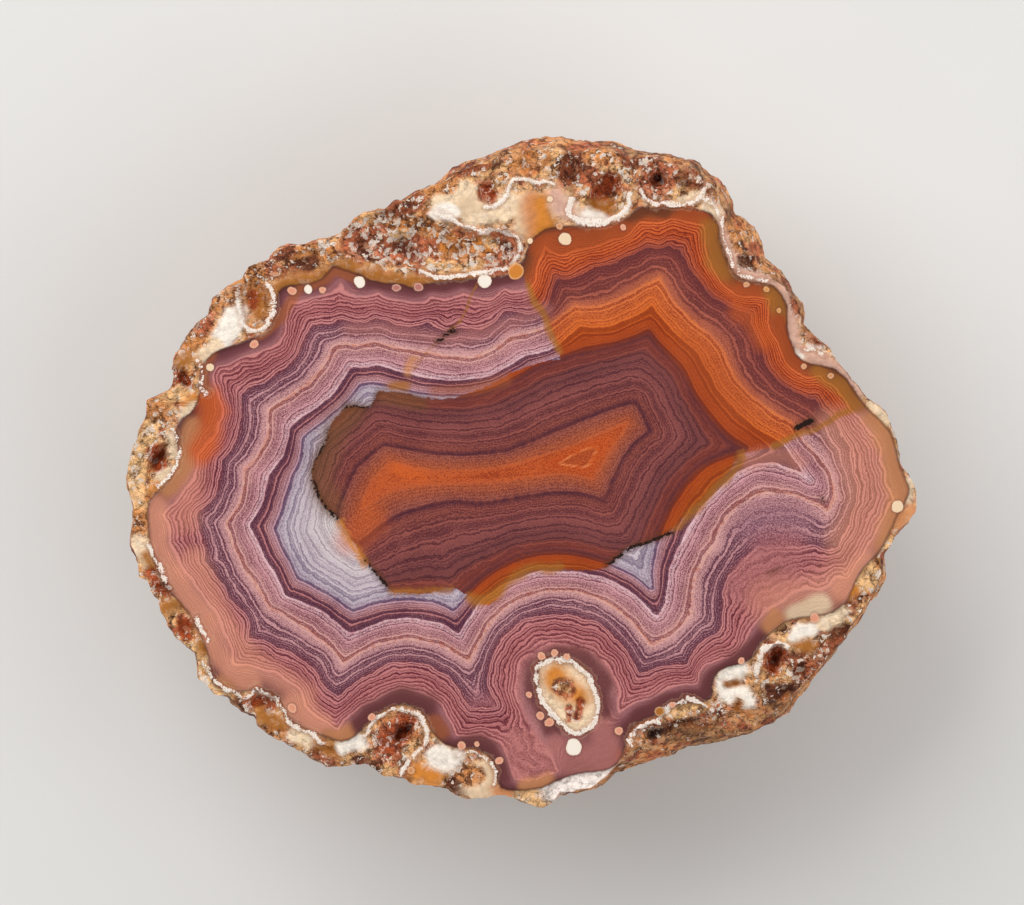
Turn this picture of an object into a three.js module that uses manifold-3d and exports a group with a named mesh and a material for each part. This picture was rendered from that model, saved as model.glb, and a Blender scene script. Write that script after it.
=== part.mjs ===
// A cut and polished agate nodule: half of a stone, lying on its rough back with the polished face up.
//
// The part's frame is in millimetres. +Z is up, +X runs to the right across the face and +Y to its upper edge.
// The origin is the middle of the small flat spot that the stone rests on, under the middle of its outline.

import * as THREE from "three";
import { mergeVertices } from "three/addons/utils/BufferGeometryUtils.js";
import Module from "manifold-3d";

// Driving dimensions
const STONE_WIDTH = 99.4; // left to right, across the widest part of the outline
const STONE_DEPTH = 34; // from the polished face down to the resting spot
const GIRTH_DEPTH = 6.5; // how far below the face the stone is widest
const REST_RADIUS = 12; // the flat spot underneath
const BACK_LEAN = 72; // degrees from the girth's wall to the back's slope where it meets the flat spot
const KNOB_HEIGHT = 2.1; // rough knobs over the back
const KNOB_PITCH = 17; // the longest wavelength of the knobs
const KNOB_WAVES = 12;
const PIT_RAGGEDNESS = 0.2; // how uneven a pit's wall is, as a share of its width
const PIT_WAVES = new THREE.Vector3(5, 4, 3); // radians of raggedness per pit radius, each way
const PIT_OVERSHOOT = 0.02; // how far a pit's cutter stands over the face

// Mesh density
const MERGE_DISTANCE = 1e-4;
const SECTORS = 132;
const GIRTH_RINGS = 4;
const BACK_RINGS = 15;
const PIT_SIDES = 10;
const PIT_RINGS = 6;

// The outline seen from straight above the face, as pixels of the reference picture, clockwise from the right.
const OUTLINE_PIXELS = [
  [919, 500], [917, 513], [912, 523], [899, 536], [895, 546], [888, 556], [889, 575], [884, 587], [871, 606],
  [862, 622], [852, 638], [842, 652], [830, 665], [820, 676], [810, 689], [800, 700], [796, 710], [788, 719],
  [776, 728], [760, 735], [740, 742], [720, 746], [706, 750], [690, 753], [670, 760], [650, 764], [632, 769],
  [620, 776], [605, 789], [592, 795], [575, 797], [560, 796], [552, 804], [541, 808], [528, 806], [510, 799],
  [495, 797], [482, 799], [470, 801], [455, 797], [447, 790], [430, 789], [414, 787], [402, 781], [385, 778],
  [374, 773], [366, 766], [354, 765], [340, 769], [326, 769], [315, 763], [304, 755], [291, 747], [277, 741],
  [264, 735], [255, 730], [252, 719], [240, 713], [225, 698], [212, 696], [205, 686], [197, 680], [195, 667],
  [191, 655], [183, 644], [174, 636], [166, 627], [160, 613], [157, 602], [148, 592], [147, 581], [138, 578],
  [136, 566], [133, 555], [129, 545], [128, 534], [131, 520], [130, 505], [126, 492], [123, 476], [127, 462],
  [131, 450], [135, 437], [139, 427], [144, 415], [146, 400], [156, 395], [167, 389], [172, 377], [169, 368],
  [174, 354], [183, 336], [190, 327], [200, 318], [208, 309], [212, 297], [220, 290], [232, 281], [240, 275],
  [246, 265], [257, 261], [268, 258], [277, 246], [286, 242], [297, 243], [307, 240], [329, 235], [345, 225],
  [355, 214], [366, 208], [384, 206], [392, 198], [403, 195], [412, 188], [425, 183], [440, 177], [452, 167],
  [470, 158], [486, 153], [496, 146], [520, 138], [540, 135], [560, 134], [576, 137], [600, 137], [618, 139],
  [632, 144], [650, 147], [668, 148], [682, 153], [693, 154], [703, 158], [712, 168], [720, 175], [728, 187],
  [736, 200], [739, 209], [749, 219], [758, 229], [763, 239], [768, 255], [778, 264], [786, 271], [793, 281],
  [801, 292], [807, 302], [808, 313], [807, 321], [813, 331], [823, 339], [833, 347], [838, 360], [846, 370],
  [853, 379], [861, 385], [869, 397], [877, 404], [887, 412], [894, 424], [900, 440], [902, 462], [911, 475],
  [917, 485],
];

// Where the rough outside stands out past the cut, below the face: [direction in degrees, inset of the cut in mm].
const SHOULDER_INSETS = [
  [-180, 0.2], [-120, 0.3], [-84, 0.2], [-74, 1.2], [-66, 2.6], [-58, 4.2], [-50, 4.6], [-43, 3.4], [-38, 1.2],
  [-28, 0.7], [-14, 0.9], [-6, 0.2], [20, 0.3], [30, 0.9], [38, 1.8], [45, 2.9], [52, 2.2], [62, 1.5], [75, 1.8],
  [90, 1.9], [104, 0.9], [120, 0.5], [150, 0.3], [180, 0.2],
];

// Open tubes, pockets and vugs in the cut face: centre in picture pixels, then half length, half width and depth in mm,
// and the direction of the long way in degrees.
const PITS = [
  { at: [158, 458], long: 2.0, wide: 1.0, deep: 3.6, turn: 68 },
  { at: [155, 419], long: 0.8, wide: 0.6, deep: 1.2, turn: 20 },
  { at: [184, 379], long: 1.3, wide: 0.7, deep: 1.6, turn: 110 },
  { at: [253, 300], long: 2.7, wide: 1.5, deep: 1.5, turn: 85 },
  { at: [303, 258], long: 2.6, wide: 1.0, deep: 1.0, turn: 10 },
  { at: [364, 243], long: 3.0, wide: 2.0, deep: 1.8, turn: -12 },
  { at: [408, 248], long: 3.8, wide: 2.6, deep: 2.4, turn: -6 },
  { at: [455, 249], long: 4.0, wide: 2.2, deep: 2.0, turn: -2 },
  { at: [495, 244], long: 2.6, wide: 1.7, deep: 1.8, turn: 14 },
  { at: [488, 192], long: 1.6, wide: 1.2, deep: 1.4, turn: 80 },
  { at: [468, 168], long: 2.4, wide: 1.0, deep: 1.0, turn: 22 },
  { at: [528, 168], long: 1.2, wide: 1.1, deep: 1.0, turn: 0 },
  { at: [571, 171], long: 2.2, wide: 1.4, deep: 1.9, turn: 105 },
  { at: [605, 191], long: 2.6, wide: 1.9, deep: 2.2, turn: 55 },
  { at: [658, 179], long: 1.25, wide: 1.15, deep: 4.0, turn: 0 },
  { at: [685, 183], long: 1.0, wide: 0.65, deep: 1.8, turn: -15 },
  { at: [751, 263], long: 1.6, wide: 1.0, deep: 2.6, turn: -30 },
  { at: [842, 632], long: 1.3, wide: 0.8, deep: 2.0, turn: -25 },
  { at: [776, 658], long: 1.9, wide: 1.2, deep: 3.8, turn: 75 },
  { at: [800, 672], long: 1.3, wide: 0.8, deep: 1.4, turn: 80 },
  { at: [785, 693], long: 2.2, wide: 0.8, deep: 1.8, turn: 12 },
  { at: [733, 684], long: 1.0, wide: 0.5, deep: 0.8, turn: 8 },
  { at: [738, 707], long: 1.0, wide: 0.5, deep: 0.9, turn: 75 },
  { at: [688, 727], long: 4.2, wide: 1.6, deep: 4.6, turn: 12 },
  { at: [652, 734], long: 1.0, wide: 0.8, deep: 2.4, turn: 0 },
  { at: [566, 688], long: 0.7, wide: 0.55, deep: 2.2, turn: 60 },
  { at: [470, 775], long: 1.5, wide: 1.4, deep: 0.6, turn: 0 },
  { at: [402, 733], long: 1.7, wide: 1.0, deep: 3.8, turn: 42 },
  { at: [386, 750], long: 2.0, wide: 1.4, deep: 1.0, turn: 70 },
  { at: [326, 752], long: 1.6, wide: 0.8, deep: 0.8, turn: -10 },
  { at: [262, 702], long: 1.9, wide: 0.8, deep: 1.4, turn: 5 },
  { at: [187, 630], long: 1.5, wide: 0.8, deep: 1.1, turn: -40 },
  { at: [162, 588], long: 1.1, wide: 0.6, deep: 1.2, turn: -30 },
];

const STONE_COLOR = 0xa8705f;
const STONE_ROUGHNESS = 0.35;

const outlineX = OUTLINE_PIXELS.map(([x]) => x);
const outlineY = OUTLINE_PIXELS.map(([, y]) => y);
const MM_PER_PIXEL = STONE_WIDTH / (Math.max(...outlineX) - Math.min(...outlineX));
const PIXEL_CENTRE = [
  (Math.max(...outlineX) + Math.min(...outlineX)) / 2,
  (Math.max(...outlineY) + Math.min(...outlineY)) / 2,
];

// A pixel of the reference picture as a point of the face, in millimetres.
function fromPicture([x, y]) {
  return new THREE.Vector2((x - PIXEL_CENTRE[0]) * MM_PER_PIXEL, (PIXEL_CENTRE[1] - y) * MM_PER_PIXEL);
}

// Straight-line interpolation in a list of [angle, value] knots that goes once round the circle.
function roundTable(knots, turn, angle) {
  const next = knots.findIndex(([a]) => a > angle);
  const [a1, v1] = next < 0 ? [knots[0][0] + turn, knots[0][1]] : knots[next];
  const before = next === 0 ? knots.at(-1) : knots.at(next - 1);
  const a0 = next === 0 ? before[0] - turn : before[0];
  return before[1] + ((v1 - before[1]) * (angle - a0)) / (a1 - a0);
}

const outlineKnots = OUTLINE_PIXELS.map((pixel) => {
  const p = fromPicture(pixel);
  return [Math.atan2(p.y, p.x), p.length()];
}).sort((a, b) => a[0] - b[0]);

const outlineRadius = (angle) => roundTable(outlineKnots, 2 * Math.PI, angle);
const shoulderInset = (angle) => roundTable(SHOULDER_INSETS, 360, THREE.MathUtils.radToDeg(angle));

// Rough knobs with creases between them: the folded sum of plane waves that run in evenly spread directions.
const GOLDEN_ANGLE = Math.PI * (3 - Math.sqrt(5));
const WAVE_PHASE = 1.7;
const SHORTEST_WAVE = 0.45; // of the longest
const waves = Array.from({ length: KNOB_WAVES }, (_, k) => {
  const height = 1 - (2 * (k + 0.5)) / KNOB_WAVES;
  const flat = Math.sqrt(1 - height * height);
  const length = KNOB_PITCH * (1 - ((1 - SHORTEST_WAVE) * k) / KNOB_WAVES);
  return {
    along: new THREE.Vector3(Math.cos(k * GOLDEN_ANGLE) * flat, Math.sin(k * GOLDEN_ANGLE) * flat, height),
    turns: (2 * Math.PI) / length,
    phase: WAVE_PHASE * k,
  };
});

// 0 in the creases, up to about 1 on top of the knobs.
function knobs(point) {
  const sum = waves.reduce((s, w) => s + Math.sin(w.along.dot(point) * w.turns + w.phase), 0);
  return Math.min(1, Math.abs(sum) / Math.sqrt(KNOB_WAVES));
}

// A point of the rough side, `down` from 0 at the cut's edge to 1 at the girth.
function shoulderPoint(angle, down) {
  const bulge = Math.sin((down * Math.PI) / 2);
  const radius = outlineRadius(angle) - shoulderInset(angle) * (1 - bulge);
  return new THREE.Vector3(Math.cos(angle) * radius, Math.sin(angle) * radius, STONE_DEPTH - down * GIRTH_DEPTH);
}

// A point of the rough back, `round` from 0 at the girth to 1 at the resting spot's edge.
function backPoint(angle, round) {
  const fullLean = THREE.MathUtils.degToRad(BACK_LEAN);
  const lean = round * fullLean;
  const spread = (Math.cos(lean) - Math.cos(fullLean)) / (1 - Math.cos(fullLean));
  const radius = REST_RADIUS + (outlineRadius(angle) - REST_RADIUS) * spread;
  const z = (STONE_DEPTH - GIRTH_DEPTH) * (1 - Math.sin(lean) / Math.sin(fullLean));
  return new THREE.Vector3(Math.cos(angle) * radius, Math.sin(angle) * radius, z);
}

// Cuts the creases into a side or back point. Nothing is cut at the face's edge or at the resting spot.
function carve(point) {
  const nearFace = Math.min(1, (STONE_DEPTH - point.z) / GIRTH_DEPTH);
  const nearRest = THREE.MathUtils.smoothstep(point.z, 0, GIRTH_DEPTH);
  const cut = KNOB_HEIGHT * (1 - knobs(point)) * nearFace * nearRest;
  const middle = new THREE.Vector3(0, 0, STONE_DEPTH);
  return point.sub(point.clone().sub(middle).normalize().multiplyScalar(cut));
}

// The whole half stone as one closed surface: face, shoulder, back and resting spot.
function halfStone() {
  const rings = [];
  for (let i = 0; i <= GIRTH_RINGS; i++) rings.push((angle) => shoulderPoint(angle, i / GIRTH_RINGS));
  for (let i = 1; i <= BACK_RINGS; i++) rings.push((angle) => backPoint(angle, i / BACK_RINGS));

  const points = [new THREE.Vector3(0, 0, STONE_DEPTH), new THREE.Vector3(0, 0, 0)];
  for (const ring of rings)
    for (let s = 0; s < SECTORS; s++) points.push(carve(ring(-Math.PI + (2 * Math.PI * s) / SECTORS)));

  const at = (ring, sector) => 2 + ring * SECTORS + (sector % SECTORS);
  const faces = [];
  for (let s = 0; s < SECTORS; s++) {
    faces.push(0, at(0, s), at(0, s + 1));
    for (let r = 0; r < rings.length - 1; r++) {
      faces.push(at(r, s), at(r + 1, s), at(r + 1, s + 1));
      faces.push(at(r, s), at(r + 1, s + 1), at(r, s + 1));
    }
    faces.push(1, at(rings.length - 1, s + 1), at(rings.length - 1, s));
  }
  return new THREE.BufferGeometry().setFromPoints(points).setIndex(faces);
}

// The cutter for one pit: a ragged ellipsoid whose middle lies on the face.
function pitCutter(pit, number) {
  const geometry = new THREE.SphereGeometry(1, PIT_SIDES, PIT_RINGS);
  const corners = geometry.attributes.position;
  const corner = new THREE.Vector3();
  for (let i = 0; i < corners.count; i++) {
    corner.fromBufferAttribute(corners, i);
    const wave = corner.clone().multiply(PIT_WAVES);
    const ragged = Math.sin(wave.x + number) * Math.sin(wave.y - 2 * number) * Math.cos(wave.z);
    corner.multiplyScalar(1 + PIT_RAGGEDNESS * ragged);
    corners.setXYZ(i, corner.x, corner.y, corner.z);
  }
  geometry.scale(pit.long, pit.wide, pit.deep);
  geometry.rotateZ(THREE.MathUtils.degToRad(pit.turn));
  const centre = fromPicture(pit.at);
  geometry.translate(centre.x, centre.y, STONE_DEPTH + PIT_OVERSHOOT);
  return geometry;
}

const wasm = await Module();
wasm.setup();

function toSolid(geometry) {
  const bare = geometry.clone();
  bare.deleteAttribute("normal");
  bare.deleteAttribute("uv");
  const merged = mergeVertices(bare, MERGE_DISTANCE);
  return new wasm.Manifold(
    new wasm.Mesh({
      numProp: 3,
      vertProperties: merged.attributes.position.array,
      triVerts: new Uint32Array(merged.index.array),
    }),
  );
}

function toGeometry(solid) {
  const { vertProperties, triVerts } = solid.getMesh();
  return new THREE.BufferGeometry()
    .setAttribute("position", new THREE.BufferAttribute(vertProperties, 3))
    .setIndex(new THREE.BufferAttribute(triVerts, 1));
}

const pits = PITS.map((pit, number) => toSolid(pitCutter(pit, number)));
const stone = pits.reduce((body, pit) => body.subtract(pit), toSolid(halfStone()));

const geometry = toGeometry(stone);
geometry.computeBoundingBox();
const middle = geometry.boundingBox.getCenter(new THREE.Vector3());
geometry.translate(-middle.x, -middle.y, -geometry.boundingBox.min.z);

const agate = new THREE.Mesh(
  geometry,
  new THREE.MeshStandardMaterial({ color: STONE_COLOR, roughness: STONE_ROUGHNESS, metalness: 0 }),
);
agate.name = "agate";

const part = new THREE.Group();
part.add(agate);

export default part;
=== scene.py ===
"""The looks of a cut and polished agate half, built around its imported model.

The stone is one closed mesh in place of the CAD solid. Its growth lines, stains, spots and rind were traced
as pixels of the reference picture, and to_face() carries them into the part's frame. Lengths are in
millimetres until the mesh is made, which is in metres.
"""
import math

import bpy
import numpy as np
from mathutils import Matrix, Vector, noise


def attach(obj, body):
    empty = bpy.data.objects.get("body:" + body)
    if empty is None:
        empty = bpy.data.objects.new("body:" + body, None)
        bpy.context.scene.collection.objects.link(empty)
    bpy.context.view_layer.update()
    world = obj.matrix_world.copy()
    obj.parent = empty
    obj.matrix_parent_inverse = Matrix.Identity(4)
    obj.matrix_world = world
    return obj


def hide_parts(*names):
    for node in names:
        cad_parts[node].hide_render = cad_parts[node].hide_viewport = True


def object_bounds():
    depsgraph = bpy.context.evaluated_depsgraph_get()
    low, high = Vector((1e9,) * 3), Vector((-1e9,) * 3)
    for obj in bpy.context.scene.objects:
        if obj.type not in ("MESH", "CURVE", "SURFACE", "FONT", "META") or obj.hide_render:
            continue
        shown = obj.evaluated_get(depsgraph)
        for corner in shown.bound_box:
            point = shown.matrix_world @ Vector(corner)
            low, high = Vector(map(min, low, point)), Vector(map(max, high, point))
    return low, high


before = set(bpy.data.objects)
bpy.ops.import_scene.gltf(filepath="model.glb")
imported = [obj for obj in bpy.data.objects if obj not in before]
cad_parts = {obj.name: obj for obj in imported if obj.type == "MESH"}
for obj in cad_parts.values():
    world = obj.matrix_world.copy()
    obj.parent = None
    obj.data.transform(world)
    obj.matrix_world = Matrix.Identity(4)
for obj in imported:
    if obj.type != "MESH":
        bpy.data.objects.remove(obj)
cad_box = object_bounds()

MM_PER_METRE = 1000

# The stone, as in the CAD source
STONE_WIDTH = 99.4
GIRTH_DEPTH = 6.5
REST_RADIUS = 12.0
BACK_LEAN = math.radians(72)
KNOB_HEIGHT = 2.1
KNOB_PITCH = 17.0
KNOB_WAVES = 12
SHORTEST_WAVE = 0.45
GOLDEN_ANGLE = math.pi * (3 - math.sqrt(5))
WAVE_PHASE = 1.7
PIT_RAGGEDNESS = 0.2
PIT_WAVES = (5, 4, 3)  # radians of raggedness per pit radius, each way
DEPTH = cad_box[1].z * MM_PER_METRE

# Its finer relief
SKIN_DEPTH = 3.4  # how far down the creases reach their full depth, in depths of the widest outline
PIT_REACH = 1.3  # how far from its middle a pit is looked for, in its half lengths
CRUMB_DEPTH = 1.3  # the deepest that crumbly stone has broken away
VUG_DEPTH = 1.1
GRAIN_SHARPNESS = 1.6
LUMP_RELIEF = 0.0004  # metres

# The reference picture
PICTURE = (1024, 905)
ORIGIN_PIXEL = np.array([520.2, 470.8])  # the pixel straight above the part's origin

# Mesh density
RIM_POINTS = 840
SHOULDER_RINGS = 8
BACK_RINGS = 62
SPOT_SHARES = (0.75, 0.5, 0.25)
CURVE_PIECES = 4  # straight pieces from point to point
POINTS_AT_ONCE = 4096  # measured in one step, which keeps the memory small
SHARP_EDGE = math.radians(55)

# Zones of the face: start and end as shares of its radius, mm from ring to ring, and how many of the rim's
# vertices there are for each one.
FACE_ZONES = [(0, 0.1, 0.7, 8), (0.1, 0.3, 0.6, 4), (0.3, 0.66, 0.5, 2), (0.66, 1, 0.3, 1)]

# Flat map of the finish
MAP_MARGIN = 0.005
FACE_MAP = 0.82
FACE_MAP_MIDDLE = (0.5, 0.44)
SIDE_MAP = (0.9, 0.01, 0.09, 0.98)  # left and lower edge, width and height
BACK_MAP = 0.26
BACK_MAP_MIDDLE = (0.2, 0.86)

# Studio
FLOOR_SIZE = 3.0
FLOOR_SHADES = ((0.74, 0.73, 0.71, 1), (0.78, 0.77, 0.75, 1))
FLOOR_ROUGHNESS = 0.7
LENS = 250.0
SENSOR_WIDTH = 36.0
WORLD_STRENGTH = 0.35
LAMPS = [  # name, place in metres, watts and size
    ("key", (-0.42, 0.38, 0.5), 4.2, 0.7),
    ("fill", (0.45, -0.2, 0.45), 1.8, 0.7),
    ("back", (0.1, 0.5, 0.3), 1.1, 0.7),
]

# Outline seen from straight above, clockwise from the right.
OUTLINE = [
    (919, 500), (917, 513), (912, 523), (899, 536), (895, 546), (888, 556), (889, 575), (884, 587),
    (871, 606), (862, 622), (852, 638), (842, 652), (830, 665), (820, 676), (810, 689), (800, 700),
    (796, 710), (788, 719), (776, 728), (760, 735), (740, 742), (720, 746), (706, 750), (690, 753),
    (670, 760), (650, 764), (632, 769), (620, 776), (605, 789), (592, 795), (575, 797), (560, 796),
    (552, 804), (541, 808), (528, 806), (510, 799), (495, 797), (482, 799), (470, 801), (455, 797),
    (447, 790), (430, 789), (414, 787), (402, 781), (385, 778), (374, 773), (366, 766), (354, 765),
    (340, 769), (326, 769), (315, 763), (304, 755), (291, 747), (277, 741), (264, 735), (255, 730),
    (252, 719), (240, 713), (225, 698), (212, 696), (205, 686), (197, 680), (195, 667), (191, 655),
    (183, 644), (174, 636), (166, 627), (160, 613), (157, 602), (148, 592), (147, 581), (138, 578),
    (136, 566), (133, 555), (129, 545), (128, 534), (131, 520), (130, 505), (126, 492), (123, 476),
    (127, 462), (131, 450), (135, 437), (139, 427), (144, 415), (146, 400), (156, 395), (167, 389),
    (172, 377), (169, 368), (174, 354), (183, 336), (190, 327), (200, 318), (208, 309), (212, 297),
    (220, 290), (232, 281), (240, 275), (246, 265), (257, 261), (268, 258), (277, 246), (286, 242),
    (297, 243), (307, 240), (329, 235), (345, 225), (355, 214), (366, 208), (384, 206), (392, 198),
    (403, 195), (412, 188), (425, 183), (440, 177), (452, 167), (470, 158), (486, 153), (496, 146),
    (520, 138), (540, 135), (560, 134), (576, 137), (600, 137), (618, 139), (632, 144), (650, 147),
    (668, 148), (682, 153), (693, 154), (703, 158), (712, 168), (720, 175), (728, 187), (736, 200),
    (739, 209), (749, 219), (758, 229), (763, 239), (768, 255), (778, 264), (786, 271), (793, 281),
    (801, 292), (807, 302), (808, 313), (807, 321), (813, 331), (823, 339), (833, 347), (838, 360),
    (846, 370), (853, 379), (861, 385), (869, 397), (877, 404), (887, 412), (894, 424), (900, 440),
    (902, 462), (911, 475), (917, 485),
]

# How far the cut's edge lies inside the widest outline: (direction in degrees, mm).
SHOULDER_INSETS = [
    (-180, 0.2), (-120, 0.3), (-84, 0.2), (-74, 1.2), (-66, 2.6), (-58, 4.2), (-50, 4.6), (-43, 3.4),
    (-38, 1.2), (-28, 0.7), (-14, 0.9), (-6, 0.2), (20, 0.3), (30, 0.9), (38, 1.8), (45, 2.9), (52, 2.2),
    (62, 1.5), (75, 1.8), (90, 1.9), (104, 0.9), (120, 0.5), (150, 0.3), (180, 0.2),
]

# Pits in the face: (x, y) pixel, then half length, half width and depth in mm, and the direction of the long
# way in degrees.
PITS = [
    ((158, 458), 2.1, 1.0, 2.6, 68), ((155, 419), 0.8, 0.6, 1.2, 20), ((184, 379), 1.3, 0.7, 1.6, 110),
    ((253, 300), 2.7, 1.5, 1.5, 85), ((303, 258), 2.6, 1.0, 1.0, 10), ((364, 243), 3.0, 2.0, 1.8, -12),
    ((408, 248), 3.8, 2.6, 2.4, -6), ((455, 249), 4.0, 2.2, 2.0, -2), ((495, 244), 2.6, 1.7, 1.8, 14),
    ((488, 192), 1.6, 1.2, 1.4, 80), ((468, 168), 2.4, 1.0, 1.0, 22), ((528, 168), 1.2, 1.1, 1.0, 0),
    ((571, 171), 2.2, 1.4, 1.9, 105), ((605, 191), 2.6, 1.9, 2.2, 55), ((658, 179), 1.25, 1.15, 3.0, 0),
    ((685, 183), 1.0, 0.65, 1.8, -15), ((751, 263), 1.8, 0.8, 1.3, -30), ((842, 632), 1.3, 0.8, 1.2, -25),
    ((776, 658), 1.9, 1.1, 2.8, 75), ((800, 672), 1.3, 0.8, 1.4, 80), ((785, 693), 2.2, 0.8, 1.2, 12),
    ((733, 684), 1.0, 0.5, 0.8, 8), ((738, 707), 1.0, 0.5, 0.9, 75), ((690, 727), 3.4, 1.2, 1.7, 12),
    ((652, 734), 1.0, 0.8, 1.5, 0), ((566, 688), 0.7, 0.55, 1.2, 60), ((470, 775), 1.5, 1.4, 0.6, 0),
    ((402, 733), 1.7, 0.9, 2.8, 42), ((386, 750), 2.0, 1.4, 1.0, 70), ((326, 752), 1.6, 0.8, 0.8, -10),
    ((262, 702), 1.9, 0.8, 1.4, 5), ((187, 630), 1.5, 0.8, 1.1, -40), ((162, 588), 1.1, 0.6, 1.2, -30),
]

# Growth lines from the rind to the middle. Each arc runs from a cusp to the first point of the next arc.
# The inner side of the rind, where growth began
WALL = [
    [(333, 266), (345, 270), (360, 275), (370, 280), (385, 283), (400, 284), (415, 288), (430, 283),
     (445, 281), (460, 280), (478, 278), (495, 277), (508, 275), (518, 268), (524, 258), (528, 247),
     (534, 238), (545, 230), (560, 227), (575, 226), (590, 226), (605, 225), (618, 222), (630, 214),
     (640, 207), (655, 208), (670, 206), (685, 208), (700, 210), (712, 215), (718, 225), (720, 238),
     (724, 250), (728, 262), (735, 274), (748, 281), (762, 283), (774, 287), (782, 296), (787, 308),
     (787, 320), (788, 333), (792, 345), (797, 356), (808, 363), (822, 366), (835, 370), (846, 379),
     (854, 390), (862, 402), (872, 413), (884, 424), (892, 436), (896, 450), (899, 464), (905, 478),
     (909, 490), (905, 502), (898, 514), (892, 527), (886, 540), (878, 553), (868, 563), (858, 576),
     (852, 590), (845, 603), (832, 612), (815, 616), (798, 618), (784, 623), (772, 632), (762, 642),
     (755, 655), (745, 662), (730, 666), (718, 672), (712, 684), (712, 696), (702, 702), (688, 703),
     (675, 706), (662, 712), (648, 718), (636, 724), (628, 735), (624, 750), (617, 763), (605, 770),
     (590, 772), (572, 775), (555, 782), (540, 788), (525, 790), (508, 790), (498, 783), (496, 770),
     (490, 758), (478, 750), (462, 748), (448, 745), (438, 738), (430, 727), (424, 715), (413, 707),
     (400, 705), (386, 709), (374, 718), (364, 728), (352, 738), (340, 741), (327, 737), (314, 733),
     (302, 727), (290, 720), (284, 708), (278, 698), (268, 692), (252, 690), (238, 692), (226, 690),
     (214, 684), (210, 670), (208, 655), (203, 640), (196, 625), (188, 612), (178, 600), (168, 590),
     (160, 577), (155, 562), (151, 548), (149, 533), (148, 518), (149, 504), (155, 494), (165, 485),
     (173, 473), (178, 460), (178, 446), (176, 432), (181, 420), (191, 412), (198, 400), (200, 386),
     (200, 372), (206, 360), (216, 352), (228, 347), (240, 343), (252, 338), (265, 333), (273, 322),
     (275, 308), (277, 296), (284, 287), (297, 285), (312, 283), (324, 277)],
]
# The first pink line
FIRST_LINE = [
    [(341, 283), (347, 292), (356, 298), (367, 297)],
    [(378, 293), (386, 298), (400, 302), (415, 303), (425, 301)],
    [(431, 297), (445, 298), (456, 296)],
    [(463, 292), (472, 297), (483, 299), (494, 296)],
    [(504, 289), (515, 291), (527, 290), (533, 284), (537, 270), (540, 256)],
    [(545, 246), (552, 251), (563, 256), (575, 253), (588, 247), (602, 245), (612, 240), (624, 237),
     (633, 230)],
    [(640, 222), (650, 223), (660, 223)],
    [(670, 219), (682, 221), (693, 222)],
    [(703, 225), (705, 240), (708, 258), (715, 274), (726, 288), (740, 296), (755, 297)],
    [(768, 300), (767, 312), (768, 325), (775, 338), (781, 350), (785, 362), (794, 371), (806, 378)],
    [(820, 375), (826, 383), (836, 388), (843, 397), (849, 406), (856, 414), (868, 429), (879, 444),
     (883, 458), (886, 474), (890, 488)],
    [(895, 498), (887, 511), (879, 526), (871, 541), (862, 556), (854, 568)],
    [(848, 577), (836, 576), (826, 583)],
    [(820, 589), (808, 586), (797, 590), (785, 599), (772, 606), (761, 615), (752, 627), (745, 640),
     (735, 654), (722, 660), (708, 664), (700, 673)],
    [(697, 683), (683, 684), (668, 688), (652, 695), (636, 701)],
    [(619, 712), (619, 698), (616, 682), (609, 667), (597, 655), (583, 648), (568, 645), (553, 644),
     (538, 648), (526, 657), (519, 669), (516, 685), (518, 702), (524, 718), (534, 734), (545, 750),
     (553, 762)],
    [(558, 772), (545, 776), (530, 781)],
    [(513, 779), (510, 764), (503, 749), (492, 739), (478, 736), (465, 737)],
    [(456, 735), (451, 722), (444, 709), (433, 698), (419, 691), (403, 688), (388, 692), (373, 700),
     (358, 709), (346, 719)],
    [(338, 730), (327, 722), (315, 715), (306, 705), (300, 692), (291, 682), (278, 675), (264, 670),
     (248, 666)],
    [(233, 663), (230, 648), (226, 630), (217, 612), (207, 598), (198, 586), (188, 575)],
    [(180, 567), (175, 553), (171, 538), (168, 525)],
    [(164, 515), (174, 504), (184, 493), (192, 480), (196, 467)],
    [(198, 457), (208, 444), (217, 432), (222, 418), (221, 404), (216, 390), (213, 377)],
    [(217, 367), (230, 365), (243, 358), (258, 353), (272, 347), (281, 338), (285, 325), (287, 312)],
    [(290, 301), (303, 301), (318, 298), (331, 292)],
]
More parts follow.
